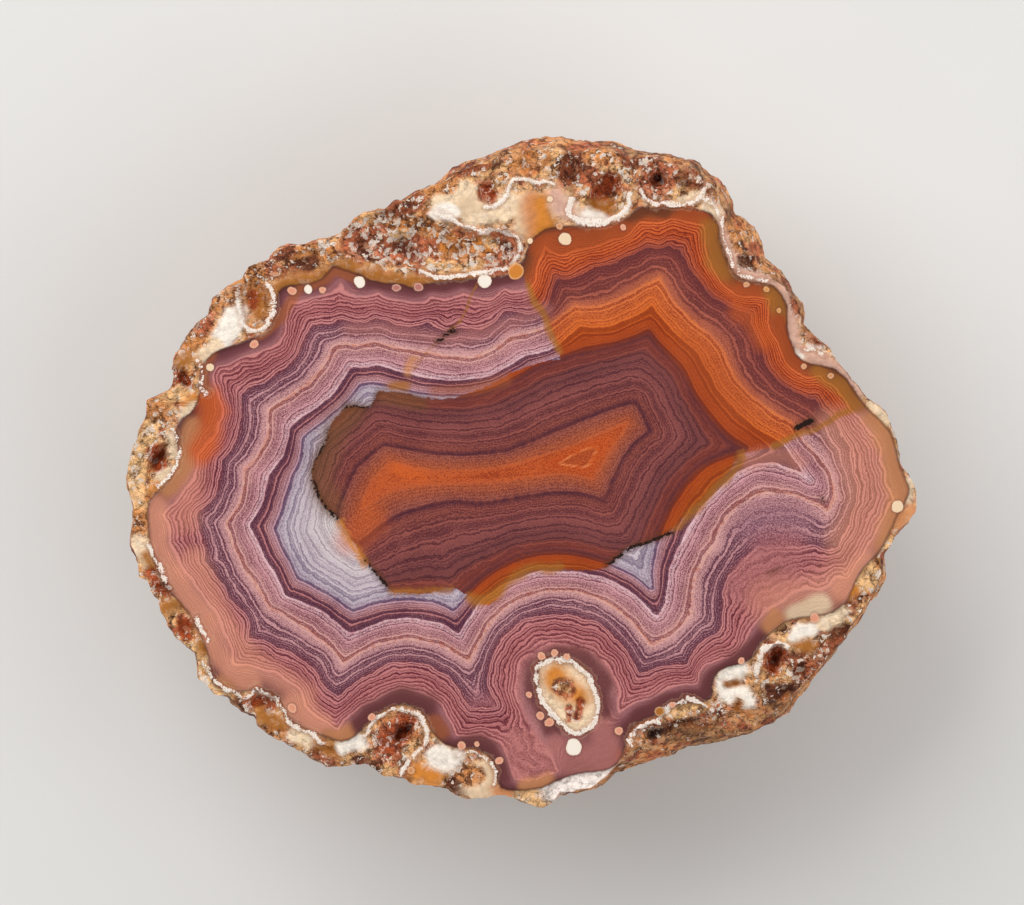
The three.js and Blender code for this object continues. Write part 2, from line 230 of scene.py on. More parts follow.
# The outer edge of the wide purple band
PURPLE_LINE = [
    [(343, 320), (355, 321), (366, 322)],
    [(376, 319), (386, 321), (400, 326), (415, 327)],
    [(428, 322), (438, 329), (450, 331)],
    [(458, 327), (470, 331), (483, 330), (494, 322), (502, 314)],
    [(509, 311), (521, 313), (533, 313), (546, 308), (551, 293)],
    [(556, 277), (569, 279), (582, 274), (596, 268), (609, 264), (621, 259), (633, 254)],
    [(647, 246), (658, 248)],
    [(668, 245), (675, 247)],
    [(682, 248), (687, 262), (695, 275), (704, 287), (716, 298), (730, 306), (741, 310)],
    [(750, 314), (752, 325), (757, 337), (762, 350), (765, 362), (772, 374), (784, 384), (796, 392),
     (806, 396)],
    [(816, 397), (822, 406), (830, 416), (839, 428), (847, 443), (851, 460), (855, 476), (857, 490)],
    [(857, 501), (850, 515), (845, 529)],
    [(838, 547), (822, 549), (805, 546), (785, 545), (765, 548), (750, 554), (738, 563), (729, 575),
     (724, 590), (723, 605), (722, 620)],
    [(719, 635), (708, 638), (698, 645), (691, 655)],
    [(688, 664), (674, 664), (660, 667), (648, 671)],
    [(638, 675), (634, 662), (627, 650), (617, 638), (605, 628), (592, 621), (578, 617), (563, 615),
     (548, 614), (533, 617), (520, 622), (509, 630), (500, 640), (493, 652), (489, 666), (488, 680),
     (490, 694)],
    [(497, 707), (484, 706)],
    [(470, 709), (464, 697), (457, 687), (447, 677), (435, 669), (420, 664), (405, 662), (390, 664),
     (375, 670), (362, 678), (350, 687)],
    [(338, 698), (329, 693), (323, 683), (317, 672), (309, 663), (298, 656), (285, 651), (272, 645),
     (262, 641)],
    [(250, 637), (249, 625), (245, 615), (238, 606)],
    [(229, 598), (224, 588), (217, 578), (212, 569)],
    [(204, 561), (207, 551), (205, 540), (200, 529)],
    [(196, 516), (205, 507), (213, 498), (219, 487), (221, 474)],
    [(221, 460), (230, 452), (236, 441), (240, 428), (241, 413)],
    [(240, 394), (255, 385), (270, 378), (285, 369), (296, 358), (303, 345), (307, 334)],
    [(312, 325), (322, 324), (333, 323)],
]
# The bright peach line
PEACH_LINE = [
    [(345, 342), (360, 343), (375, 341), (390, 344), (405, 348), (418, 350), (432, 351), (445, 354),
     (460, 356), (475, 355), (488, 351), (498, 345), (507, 338)],
    [(517, 334), (530, 331), (543, 327), (556, 320), (565, 313)],
    [(574, 306), (588, 307), (603, 304), (618, 299), (632, 292), (645, 284)],
    [(660, 277), (666, 290), (675, 303), (687, 315), (700, 327), (712, 338), (723, 351), (730, 366),
     (738, 381), (749, 393), (762, 404), (777, 414), (793, 424), (803, 437), (815, 452), (827, 466),
     (834, 481)],
    [(838, 498), (833, 507)],
    [(828, 515), (819, 508), (806, 501), (792, 496), (777, 494), (762, 495), (748, 500), (736, 509),
     (726, 521), (719, 534), (714, 547), (705, 560), (698, 573), (694, 588), (693, 602)],
    [(692, 616), (682, 626), (671, 636), (661, 643)],
    [(650, 648), (643, 638), (634, 627), (624, 617), (612, 608), (598, 600), (584, 595), (570, 592),
     (556, 592), (541, 593), (527, 597), (514, 603), (503, 611), (493, 622), (486, 632), (480, 643),
     (474, 655)],
    [(469, 664), (460, 657), (450, 650), (438, 645), (425, 642), (410, 640), (395, 641), (382, 644),
     (370, 649), (358, 655)],
    [(343, 665), (337, 656), (328, 647), (316, 638), (304, 629), (292, 621), (280, 614)],
    [(268, 610), (263, 599), (256, 589), (250, 580), (243, 568), (238, 557), (232, 547), (229, 535)],
    [(224, 523), (231, 514), (238, 503), (242, 490), (243, 478)],
    [(243, 467), (253, 459), (261, 448), (266, 435), (268, 422)],
    [(267, 409), (279, 401), (293, 391), (308, 381), (319, 369), (327, 357)],
    [(332, 346)],
]
# The outer edge of the darkest purple bands
DARK_LINE = [
    [(350, 367), (362, 367), (377, 366), (390, 369), (403, 373), (415, 376), (432, 379), (450, 380),
     (468, 380), (485, 377), (500, 371), (513, 364)],
    [(526, 356), (540, 354), (553, 349), (563, 342), (572, 334)],
    [(580, 325), (595, 328), (610, 326), (625, 321), (638, 314)],
    [(652, 305), (660, 317), (670, 329), (682, 339), (693, 349), (702, 360), (709, 373), (716, 387),
     (726, 400), (737, 412), (750, 423), (765, 433), (780, 442), (790, 455), (800, 468)],
    [(810, 480), (800, 472), (788, 466), (773, 463), (757, 464), (742, 470), (729, 479), (717, 490),
     (706, 502), (696, 515), (688, 528), (681, 541), (675, 555), (670, 570), (667, 585), (664, 600)],
    [(657, 616), (648, 606), (638, 597), (625, 588), (612, 581), (598, 576), (583, 573), (568, 571),
     (552, 571), (537, 572), (522, 576), (508, 582), (495, 590), (483, 599), (474, 609), (467, 620)],
    [(459, 634), (450, 628), (440, 623), (428, 620), (413, 618), (400, 618), (387, 620), (375, 624),
     (363, 629)],
    [(349, 635), (338, 623), (325, 613), (312, 606), (299, 600)],
    [(285, 595), (280, 582), (274, 570), (267, 558), (260, 546), (255, 536)],
    [(250, 525), (257, 514), (262, 502), (265, 489)],
    [(268, 476), (277, 466), (284, 453), (288, 440)],
    [(289, 427), (302, 418), (316, 408), (330, 397), (341, 383)],
]
# Where the pale crescent, or the brown core, begins
CRESCENT_LINE = [
    [(362, 387), (372, 386), (385, 388), (400, 391), (420, 395), (445, 397), (468, 396), (488, 391),
     (505, 384), (520, 376), (533, 368), (546, 363), (560, 358), (575, 353), (590, 350), (605, 347),
     (625, 342), (638, 337)],
    [(649, 332), (657, 343), (667, 354), (678, 365), (686, 378), (692, 392), (700, 405), (710, 419),
     (722, 432), (734, 442)],
    [(746, 449), (728, 454), (712, 460), (698, 468), (686, 480), (676, 494), (668, 509), (661, 524),
     (656, 540), (652, 556), (650, 572)],
    [(651, 588), (641, 579), (629, 571), (616, 565), (602, 560), (587, 556), (572, 553), (555, 552),
     (538, 553), (522, 557), (507, 563), (493, 571), (480, 581), (469, 592), (460, 601)],
    [(453, 608), (443, 602), (430, 599), (415, 597), (400, 597), (385, 599), (370, 602)],
    [(353, 608), (342, 601), (330, 593), (316, 585)],
    [(300, 577), (294, 565), (288, 553), (283, 541)],
    [(278, 530), (283, 517), (288, 503), (292, 490)],
    [(295, 478), (301, 465), (304, 452)],
    [(304, 439), (315, 430), (328, 420), (341, 409), (352, 398)],
]
# The dark line inside the core
CORE_LINE = [
    [(384, 444), (400, 448), (430, 453), (460, 455), (490, 453), (510, 450), (530, 442), (550, 433),
     (570, 425), (590, 417), (610, 409), (625, 405)],
    [(635, 403), (640, 411), (645, 421)],
    [(650, 431), (640, 438), (630, 447), (622, 460), (615, 475), (608, 490)],
    [(604, 501), (592, 496), (578, 493), (560, 492), (540, 494), (520, 497), (500, 501), (480, 503),
     (455, 501), (430, 505), (405, 512), (385, 523), (368, 537)],
    [(357, 545), (346, 533)],
    [(337, 521), (339, 508), (344, 495), (350, 481)],
    [(357, 467), (370, 456)],
]
# The edge of the core's brightest orange
ORANGE_LINE = [
    [(390, 462), (410, 468), (440, 471), (480, 470), (510, 465), (540, 457), (565, 449), (590, 439),
     (610, 430)],
    [(628, 422), (622, 433), (613, 446), (605, 458), (598, 470)],
    [(591, 479), (578, 475), (560, 473), (535, 476), (500, 481), (460, 483), (430, 484), (405, 487),
     (388, 492), (374, 500)],
    [(362, 507), (368, 490), (378, 475)],
]
# The last line, in the middle
INNER_TRIANGLE = [[(557, 464), (578, 452)], [(599, 445), (593, 457)], [(587, 468)]]
GROWTH_LINES = [
    WALL,
    FIRST_LINE,
    PURPLE_LINE,
    PEACH_LINE,
    DARK_LINE,
    CRESCENT_LINE,
    CORE_LINE,
    ORANGE_LINE,
    INNER_TRIANGLE,
]

# Stains lie over the bands: the orange wedge at the upper right and the brown core.
WEDGE = [
    (520, 268), (530, 290), (540, 308), (549, 325), (557, 347), (562, 358), (578, 372), (602, 365),
    (644, 352), (660, 372), (680, 396), (698, 425), (715, 442), (738, 453), (765, 449), (783, 443),
    (797, 435), (815, 428), (832, 422), (848, 414), (860, 406), (880, 390), (860, 350), (820, 290),
    (780, 230), (740, 180), (700, 150), (640, 150), (580, 170), (535, 200), (522, 240),
]
CORE = [
    (378, 391), (373, 402), (367, 407), (350, 406), (338, 414), (328, 430), (325, 444), (314, 462),
    (311, 474), (314, 487), (320, 500), (328, 510), (338, 519), (345, 530), (355, 545), (362, 557),
    (372, 568), (380, 578), (387, 587), (396, 592), (425, 594), (440, 590), (455, 589), (468, 596),
    (478, 602), (490, 605), (500, 595), (508, 583), (522, 573), (545, 569), (575, 570), (603, 569),
    (615, 560), (627, 549), (645, 544), (660, 539), (672, 531), (682, 520), (693, 510), (708, 498),
    (718, 486), (728, 473), (738, 458), (743, 451), (716, 427), (700, 404), (686, 378), (668, 356),
    (648, 334), (600, 349), (562, 358), (545, 361), (525, 367), (505, 376), (482, 388), (460, 396),
    (445, 399), (420, 397), (400, 392),
]

# The hollow lined with small crystals in the upper rind.
VUG = [
    (338, 245), (345, 230), (358, 217), (385, 210), (410, 214), (432, 222), (455, 230), (480, 232),
    (502, 233), (514, 240), (519, 250), (514, 261), (500, 268), (475, 272), (450, 273), (425, 270),
    (400, 268), (375, 264), (352, 258),
]
# The oval inclusion near the lower edge
OVAL = [
    (537, 666), (545, 659), (558, 658), (572, 661), (585, 669), (594, 682), (598, 696), (599, 714),
    (592, 727), (580, 734), (568, 731), (556, 721), (546, 709), (539, 697), (536, 682),
]

# Palette: sRGB colour, then how crumbly the stone of that colour is, from 0 polished to 1 rough.
PALETTE = {
    "white": ((244, 232, 218), 0.2),
    "cream": ((238, 208, 172), 0.3),
    "glass": ((220, 190, 156), 0.0),
    "shell": ((212, 166, 146), 0.1),
    "bone": ((242, 190, 132), 0.8),
    "tan": ((216, 142, 82), 1.0),
    "clay": ((200, 112, 74), 1.0),
    "brown": ((164, 90, 56), 1.0),
    "umber": ((112, 58, 34), 1.0),
    "rust": ((174, 78, 36), 0.7),
    "ochre": ((168, 104, 42), 0.1),
    "amber": ((206, 128, 50), 0.0),
    "orange": ((204, 92, 34), 0.0),
    "salmon": ((222, 148, 120), 0.0),
    "honey": ((204, 136, 90), 0.0),
    "mauve": ((106, 54, 54), 0.0),
    "rose": ((180, 112, 106), 0.0),
    "quartz": ((250, 234, 224), 0.45),
    "soot": ((60, 32, 22), 0.8),
    "olive": ((118, 78, 44), 0.0),
    "peach": ((212, 136, 114), 0.0),
}
CLEAR_STONE = 0.15  # how crumbly stone may be and still be clear
CRUMBS = ["brown", "clay", "tan", "bone", "clay", "brown"]  # what the skin is made of, mixed by noise

# sRGB colours of the finish's finer parts. The darkening of lumps is partly painted shade in the creases
# between them, the colours of hollows and deep pits are painted shade, and the crystals' white is partly
# painted glints.
SHADES = {
    "dark lump and crease shade": (104, 46, 24),
    "hollow_shade": (78, 34, 20),
    "crystal and glint": (250, 232, 216),
    "pale lump": (232, 186, 150),
    "pit shadow": (92, 38, 22),
    "wall": (74, 38, 26),
    "seam": (150, 84, 50),
    "echo": (224, 192, 160),
    "dull rim": (220, 190, 164),
    "bright rim": (248, 238, 228),
    "crack": (150, 95, 45),
    "spot ring": (238, 208, 172),
    "spot halo": (96, 54, 50),
    "speck stain": (84, 50, 24),
    "speck": (34, 18, 12),
}

# How the finish is laid out
FAR = 9.0  # mm, farther from a mark than any of its looks reach
WOBBLES_PER_MM = 1.4
WOBBLE_REACH = (1.1, 1.1, 1.1)  # mm
LUMPS_PER_MM = 1.15
CRUMBS_PER_MM = 2.9
CRYSTALS_PER_MM = 1.9
LOBES_PER_MM = 0.36
LOBE_REACH = 0.26  # in bands
LOBE_MIDDLE = 0.45  # the reach's share that leaves a line in place
FLOW_WANDER = 0.03  # in bands
LINES_PER_BAND = 19
LINE_TIGHTENING = 0.09  # how much closer the lines draw from band to band
CALM_MOST = 0.75  # how calm the widest bands are

# How the finish shines and how strong its tints are
POLISHED_ROUGHNESS = 0.16
CRUMBLY_ROUGHNESS = 0.66
QUARTZ_IOR = 1.54
GLOSS = 0.25
TINT_STRENGTH = 0.85
BLUSH_STRENGTH = 0.55
DARK_TINT = 0.75  # how light a tint is on the dark lines
LIGHT_TINT = 1.1
SKIN_WARMTH = (1.04, 0.88, 0.76)  # how red, green and blue differ on the side and back
# How much the creases between the knobs are darkened, as painted shade.
CREASE_SHADE = 0.5
SKIN_DRUSE = -0.8  # how much rarer crystals are on the side and back

# Local colours of the clear stone along the rind: (colour, half width in pixels, points).
TINTS = [
    ("salmon", 11, [(158, 505), (156, 530), (166, 560), (184, 592), (206, 627), (222, 662), (250, 681)]),
    ("salmon", 12, [(292, 705), (318, 724)]),
    ("honey", 8, [(222, 684), (230, 688)]),
    ("honey", 8, [(330, 735), (350, 732)]),
    ("honey", 10, [(196, 424), (188, 445), (182, 468), (168, 486)]),
    ("orange", 13, [(208, 399), (213, 415), (209, 434), (199, 452)]),
    ("brown", 6, [(209, 354), (203, 370), (205, 388)]),
    ("brown", 4, [(258, 338), (278, 322), (288, 302), (300, 290), (320, 284), (338, 270), (360, 280)]),
    ("mauve", 5, [(370, 284), (400, 286), (430, 286), (470, 280), (510, 279)]),
    ("rust", 12, [(538, 246), (555, 243), (600, 236), (625, 222)]),
    ("umber", 8, [(628, 216), (645, 210), (665, 211)]),
    ("rust", 9, [(685, 213), (700, 218)]),
    ("ochre", 9, [(711, 228), (714, 252), (724, 272)]),
    ("rust", 8, [(738, 288), (755, 292)]),
    ("ochre", 8, [(768, 293), (776, 300), (782, 318)]),
    ("rust", 7, [(780, 322), (784, 338), (792, 355), (800, 365)]),
    ("ochre", 8, [(818, 371), (830, 377), (846, 391), (858, 404)]),
    ("honey", 11, [(874, 420), (889, 445), (896, 475), (898, 497), (894, 520), (884, 540)]),
    ("salmon", 12, [(866, 564), (845, 588)]),
    ("cream", 10, [(822, 604), (795, 614)]),
    ("honey", 9, [(776, 618), (768, 626)]),
    ("mauve", 8, [(762, 640), (737, 662), (710, 681), (702, 697), (672, 700), (642, 714), (626, 735)]),
    ("rust", 7, [(614, 755), (606, 766)]),
    ("rose", 13, [(602, 722), (606, 742)]),
    ("rose", 19, [(600, 757), (575, 762)]),
    ("mauve", 9, [(553, 728), (540, 705), (532, 682), (540, 664), (565, 654), (590, 664), (603, 685),
                  (603, 710)]),
    ("rose", 11, [(556, 748), (566, 756)]),
    ("honey", 8, [(525, 787), (545, 780)]),
    ("mauve", 8, [(505, 775), (500, 762), (485, 745), (462, 742)]),
    ("brown", 8, [(440, 732), (432, 722)]),
    ("mauve", 9, [(430, 705), (400, 696), (372, 710), (360, 722)]),
    ("amber", 3.5, [(338, 519), (352, 545), (364, 562)]),
    ("ochre", 3, [(392, 588), (420, 592), (450, 588)]),
    ("ochre", 5, [(472, 600), (490, 599), (508, 582), (525, 572), (560, 568)]),
    ("ochre", 4, [(676, 530), (702, 504), (726, 478), (742, 457)]),
    ("ochre", 3.5, [(527, 286), (538, 306), (549, 327), (560, 352)]),
    ("ochre", 3, [(770, 446), (800, 434), (830, 421), (856, 407)]),
    ("ochre", 5, [(392, 385), (405, 386)]),
    ("honey", 4, [(406, 372), (414, 360)]),
]

# Faint colours over wide stretches of the bands: (colour, half width in pixels, points).
BLUSHES = [
    ("salmon", 26, [(868, 430), (882, 480), (872, 540), (848, 585)]),
    ("peach", 20, [(810, 600), (770, 600)]),
    ("salmon", 12, [(194, 560), (222, 622), (256, 664), (304, 696)]),
    ("peach", 14, [(190, 470), (185, 520)]),
    ("salmon", 14, [(788, 604), (836, 590)]),
    ("olive", 13, [(352, 412), (336, 430), (326, 455), (320, 480), (330, 505)]),
    ("olive", 8, [(385, 396), (420, 402)]),
    ("orange", 14, [(350, 540), (372, 520)]),
    ("rust", 16, [(690, 350), (740, 410)]),
    ("brown", 6, [(435, 392), (470, 389), (505, 380)]),
    ("salmon", 15, [(832, 424), (850, 466), (856, 505), (842, 538)]),
    ("peach", 9, [(748, 462), (768, 457), (786, 456), (797, 463)]),
    ("orange", 9, [(738, 312), (752, 322), (762, 342)]),
    ("orange", 7, [(398, 470), (420, 476)]),
    ("rose", 7, [(350, 329), (385, 329), (415, 335), (450, 339), (490, 331), (520, 320), (545, 309)]),
]

# The stone that the rind is made of from place to place: (colour, half width in pixels, points).
RIND = [
    ("bone", 9, [(150, 425), (138, 455), (134, 480), (134, 505)]),
    ("tan", 9, [(138, 515), (136, 530)]),
    ("cream", 9, [(138, 545), (150, 563), (160, 572)]),
    ("ochre", 7, [(146, 556), (154, 566)]),
    ("rust", 6, [(150, 574), (156, 582), (166, 592)]),
    ("cream", 8, [(172, 580), (186, 592)]),
    ("ochre", 8, [(166, 606), (178, 604)]),
    ("cream", 8, [(200, 612), (206, 628)]),
    ("rust", 7, [(184, 622), (186, 634)]),
    ("bone", 8, [(192, 650), (200, 666), (212, 684), (228, 694)]),
    ("ochre", 6, [(200, 642), (203, 650)]),
    ("umber", 6, [(240, 704), (250, 708)]),
    ("white", 8, [(256, 684), (268, 688)]),
    ("rust", 8, [(254, 700), (272, 703)]),
    ("ochre", 9, [(262, 716), (280, 722)]),
    ("tan", 7, [(262, 731), (276, 737)]),
    ("cream", 8, [(292, 735), (308, 742)]),
    ("ochre", 9, [(318, 748), (334, 750)]),
    ("brown", 7, [(314, 759), (330, 764)]),
    ("white", 9, [(346, 746), (360, 742)]),
    ("umber", 8, [(364, 762), (374, 770)]),
    ("clay", 12, [(384, 752), (388, 734)]),
    ("rust", 12, [(392, 742), (404, 722)]),
    ("umber", 7, [(404, 764), (408, 776)]),
    ("amber", 12, [(416, 772), (436, 778)]),
    ("white", 13, [(440, 756), (452, 760)]),
    ("umber", 8, [(452, 786), (466, 794)]),
    ("glass", 12, [(484, 770), (486, 786), (474, 792)]),
    ("tan", 12, [(468, 774), (472, 776)]),
    ("honey", 8, [(498, 790), (512, 796)]),
    ("bone", 9, [(522, 796), (540, 802)]),
    ("quartz", 18, [(556, 786), (576, 782), (600, 778)]),
    ("clay", 14, [(634, 752), (652, 744)]),
    ("brown", 8, [(636, 728), (652, 720)]),
    ("tan", 14, [(642, 748), (668, 744)]),
    ("umber", 13, [(656, 736), (690, 730), (712, 724)]),
    ("soot", 5, [(650, 735), (660, 731)]),
    ("rust", 6, [(706, 720), (720, 728)]),
    ("bone", 7, [(672, 710), (690, 705)]),
    ("cream", 30, [(556, 680), (580, 712)]),
    ("amber", 12, [(553, 676), (566, 688), (578, 696)]),
    ("rust", 5, [(580, 704), (578, 716)]),
    ("rust", 3, [(566, 706), (570, 722)]),
    ("clay", 9, [(565, 688), (567, 689)]),
    ("bone", 5, [(565, 688), (567, 689)]),
    ("brown", 9, [(716, 716), (724, 726)]),
    ("white", 12, [(738, 668), (728, 688), (744, 698)]),
    ("ochre", 5, [(730, 684), (738, 683)]),
    ("ochre", 5, [(738, 702), (738, 710)]),
    ("bone", 9, [(742, 734), (760, 730), (780, 722)]),
    ("tan", 11, [(760, 722), (784, 706)]),
    ("rust", 11, [(772, 664), (780, 652)]),
    ("bone", 6, [(782, 642), (792, 645)]),
    ("brown", 12, [(798, 662), (804, 680)]),
    ("umber", 9, [(770, 692), (798, 690)]),
    ("white", 10, [(798, 634), (812, 630)]),
    ("ochre", 6, [(800, 646), (812, 648)]),
    ("cream", 9, [(826, 622), (844, 608)]),
    ("umber", 7, [(836, 634), (846, 630)]),
    ("brown", 12, [(824, 660), (840, 644)]),
    ("brown", 7, [(852, 604), (858, 596)]),
    ("amber", 6, [(850, 594), (855, 588)]),
    ("bone", 9, [(868, 582), (878, 568)]),
    ("tan", 8, [(884, 566), (884, 554)]),
    ("cream", 8, [(908, 486), (904, 496)]),
    ("honey", 8, [(908, 512), (900, 524)]),
    ("bone", 7, [(896, 540), (890, 550)]),
    ("cream", 8, [(876, 404), (886, 416)]),
    ("bone", 8, [(856, 388), (866, 394)]),
    ("shell", 8, [(716, 208), (726, 236), (734, 262), (750, 276), (772, 283)]),
    ("shell", 8, [(786, 292), (793, 312), (793, 334), (804, 354), (824, 362), (846, 378), (858, 392)]),
    ("white", 3, [(797, 351), (801, 355)]),
    ("white", 3, [(812, 346), (819, 347)]),
    ("brown", 8, [(812, 330), (818, 340)]),
    ("brown", 8, [(800, 295), (803, 310)]),
    ("brown", 8, [(776, 268), (788, 278)]),
    ("umber", 7, [(744, 262), (760, 266)]),
    ("tan", 14, [(736, 220), (752, 244)]),
    ("cream", 8, [(708, 206), (716, 214)]),
    ("brown", 12, [(692, 174), (708, 184)]),
    ("tan", 9, [(718, 188), (724, 196)]),
    ("clay", 15, [(650, 182), (664, 176)]),
    ("cream", 6, [(684, 200), (698, 196)]),
    ("rust", 12, [(600, 194), (610, 184)]),
    ("ochre", 8, [(594, 208), (608, 206)]),
    ("white", 9, [(582, 217), (600, 220)]),
    ("cream", 11, [(552, 208), (568, 206)]),
    ("brown", 12, [(566, 174), (576, 160)]),
    ("tan", 11, [(590, 152), (616, 150)]),
    ("brown", 11, [(630, 156), (652, 160)]),
    ("tan", 11, [(520, 160), (540, 158)]),
    ("ochre", 13, [(545, 222), (540, 208)]),
    ("shell", 10, [(556, 196), (566, 212)]),
    ("cream", 15, [(446, 204), (466, 196), (480, 208)]),
    ("cream", 10, [(470, 218), (496, 214), (508, 200)]),
    ("glass", 9, [(458, 208), (472, 202)]),
    ("cream", 8, [(502, 214), (514, 208)]),
    ("glass", 10, [(522, 202), (524, 226)]),
    ("honey", 10, [(530, 200), (534, 230)]),
    ("amber", 9, [(540, 204), (544, 236)]),
    ("white", 8, [(436, 214), (452, 212)]),
    ("rust", 8, [(486, 190), (490, 196)]),
    ("brown", 10, [(462, 168), (480, 162)]),
    ("tan", 10, [(430, 188), (448, 182)]),
    ("brown", 12, [(384, 222), (412, 202)]),
    ("bone", 10, [(360, 238), (376, 230)]),
    ("clay", 20, [(360, 244), (400, 242), (450, 250), (500, 250)]),
    ("tan", 7, [(392, 222), (424, 229), (448, 238)]),
    ("amber", 8, [(446, 250), (470, 246), (488, 248)]),
    ("tan", 7, [(446, 256), (476, 252)]),
    ("bone", 6, [(392, 236), (404, 234)]),
    ("brown", 6, [(362, 240), (384, 240)]),
    ("umber", 4, [(360, 249), (368, 251)]),
    ("umber", 5, [(394, 247), (410, 246)]),
    ("bone", 5, [(430, 262), (450, 268), (480, 264)]),
    ("bone", 5, [(484, 240), (496, 244)]),
    ("umber", 4, [(502, 244), (508, 248)]),
    ("ochre", 8, [(272, 288), (300, 279), (322, 274), (342, 266), (370, 274), (400, 280), (455, 281),
                  (500, 277)]),
    ("rust", 6, [(494, 273), (506, 270)]),
    ("tan", 10, [(296, 256), (326, 252)]),
    ("umber", 6, [(298, 264), (314, 262)]),
    ("brown", 9, [(274, 252), (286, 250)]),
    ("ochre", 9, [(256, 296), (260, 314)]),
    ("rust", 5, [(250, 294), (254, 304)]),
    ("ochre", 5, [(277, 290), (279, 306)]),
    ("white", 11, [(236, 312), (232, 326), (222, 338)]),
    ("ochre", 4, [(218, 350), (222, 352)]),
    ("cream", 8, [(206, 356), (216, 346)]),
    ("tan", 11, [(240, 282), (256, 272)]),
    ("tan", 9, [(214, 304), (226, 298)]),
    ("clay", 9, [(200, 330), (208, 320)]),
    ("tan", 10, [(184, 352), (194, 342)]),
    ("ochre", 8, [(182, 364), (188, 358)]),
    ("rust", 7, [(182, 378), (186, 382)]),
    ("bone", 8, [(168, 396), (180, 392)]),
    ("amber", 7, [(188, 402), (194, 398)]),
    ("cream", 8, [(184, 416), (192, 408)]),
    ("tan", 10, [(152, 408), (164, 412)]),
    ("rust", 9, [(156, 452), (160, 464)]),
    ("cream", 7, [(172, 438), (174, 452)]),
    ("cream", 7, [(170, 474), (160, 482)]),
    ("amber", 6, [(152, 488), (158, 486)]),
]

# Small round inclusions: (colour, x, y, radius in pixels).
SPOTS = [
    ("white", 360, 282, 5.8), ("white", 308, 290, 4.2), ("white", 485, 281, 6.8), ("white", 574, 747, 8.2),
    ("salmon", 292, 291, 4), ("salmon", 323, 290, 3.5), ("salmon", 254, 344, 4), ("cream", 210, 367, 4),
    ("salmon", 555, 653, 4), ("salmon", 567, 656, 3.5), ("salmon", 541, 656, 4), ("salmon", 529, 695, 3.5),
    ("salmon", 549, 722, 4.5), ("salmon", 540, 716, 3.5), ("salmon", 461, 746, 4),
    ("salmon", 499, 761, 3.5), ("salmon", 477, 744, 3), ("salmon", 372, 717, 4), ("salmon", 618, 731, 4),
    ("salmon", 815, 618, 5), ("salmon", 292, 708, 4.5), ("rose", 397, 288, 4), ("rose", 419, 287, 4.5),
    ("amber", 516, 271, 8.5), ("cream", 565, 239, 6.5), ("honey", 560, 227, 3.5), ("cream", 530, 241, 3),
    ("honey", 746, 285, 3), ("amber", 766, 289, 3), ("amber", 779, 311, 3), ("honey", 804, 367, 3),
    ("honey", 831, 376, 3.5), ("ochre", 660, 712, 5), ("cream", 550, 199, 3.5), ("salmon", 623, 227, 3),
    ("honey", 411, 771, 4), ("salmon", 672, 705, 3.5), ("salmon", 741, 661, 3.5), ("cream", 897, 507, 6),
]

# White rims in the rind: (half width in pixels, points).
RIMS = [
    (1.7, [(419, 272), (440, 277), (462, 276), (480, 272), (498, 270), (512, 264), (519, 254), (520, 245),
           (514, 236), (500, 231), (482, 231), (466, 226), (452, 219), (436, 213)]),
    (2.0, [(537, 668), (545, 661), (558, 660), (572, 663), (584, 671), (592, 683), (596, 697), (597, 712),
           (591, 725), (580, 732), (568, 729), (557, 719), (548, 708), (541, 697), (538, 682), (538, 668)]),
    (1.7, [(366, 735), (372, 724), (384, 714), (398, 709), (412, 711), (422, 719), (427, 732), (423, 746),
           (414, 756), (404, 766), (400, 778)]),
    (1.1, [(494, 785), (494, 768), (486, 757), (472, 752), (458, 756)]),
    (0.9, [(724, 216), (723, 232), (727, 250), (733, 264), (742, 275), (754, 279), (768, 281)]),
    (0.8, [(800, 350), (814, 348), (824, 356)]),
    (2.0, [(640, 190), (646, 199), (656, 204), (670, 203), (684, 205), (698, 199), (706, 190)]),
    (2.8, [(572, 200), (570, 212), (580, 221), (598, 222), (614, 218), (626, 208), (630, 195)]),
    (2.0, [(485, 208), (497, 205), (506, 196), (511, 183), (524, 179), (540, 182), (552, 183)]),
    (1.9, [(238, 288), (237, 302), (242, 316), (244, 326), (251, 332), (262, 330), (270, 320), (273, 306),
           (271, 294), (267, 284)]),
    (1.3, [(168, 422), (176, 436), (179, 452), (177, 466), (168, 478), (158, 488)]),
    (1.7, [(256, 688), (266, 693), (276, 699), (283, 711), (289, 722), (302, 730), (314, 735), (322, 744)]),
    (1.5, [(148, 545), (156, 560), (163, 575), (170, 588)]),
    (1.8, [(196, 617), (200, 630), (208, 640)]),
    (2.2, [(757, 680), (758, 664), (764, 650), (776, 643), (788, 647)]),
    (1.4, [(652, 722), (662, 714), (674, 704), (688, 699), (702, 703), (712, 712)]),
    (1.4, [(205, 662), (210, 676), (222, 688), (240, 697), (252, 694)]),
    (1.2, [(197, 360), (203, 372), (200, 386), (208, 394)]),
    (1.4, [(700, 196), (712, 204), (720, 216)]),
    (1.6, [(638, 752), (630, 742), (634, 730), (646, 724), (660, 722)]),
]

# Dark, moss-like edges of the core's stain, and a few specks: (half width in pixels, points).
DENDRITES = [
    (2.6, [(378, 392), (373, 402), (366, 407), (350, 406), (345, 408)]),
    (2.9, [(328, 428), (326, 442), (316, 458), (312, 472)]),
    (3.6, [(313, 480), (318, 494), (327, 508), (337, 518)]),
    (3.2, [(365, 560), (372, 568), (380, 577), (387, 587)]),
    (3.2, [(606, 566), (618, 557), (630, 548), (646, 543), (658, 538), (672, 532)]),
    (4.2, [(797, 428), (804, 424), (812, 421)]),
    (3.2, [(437, 342), (446, 335), (453, 329)]),
    (2.8, [(447, 334), (456, 331)]),
    (2.0, [(736, 457), (738, 460)]),
    (2.2, [(822, 498), (824, 501)]),
    (1.6, [(768, 573), (774, 571), (780, 568)]),
]

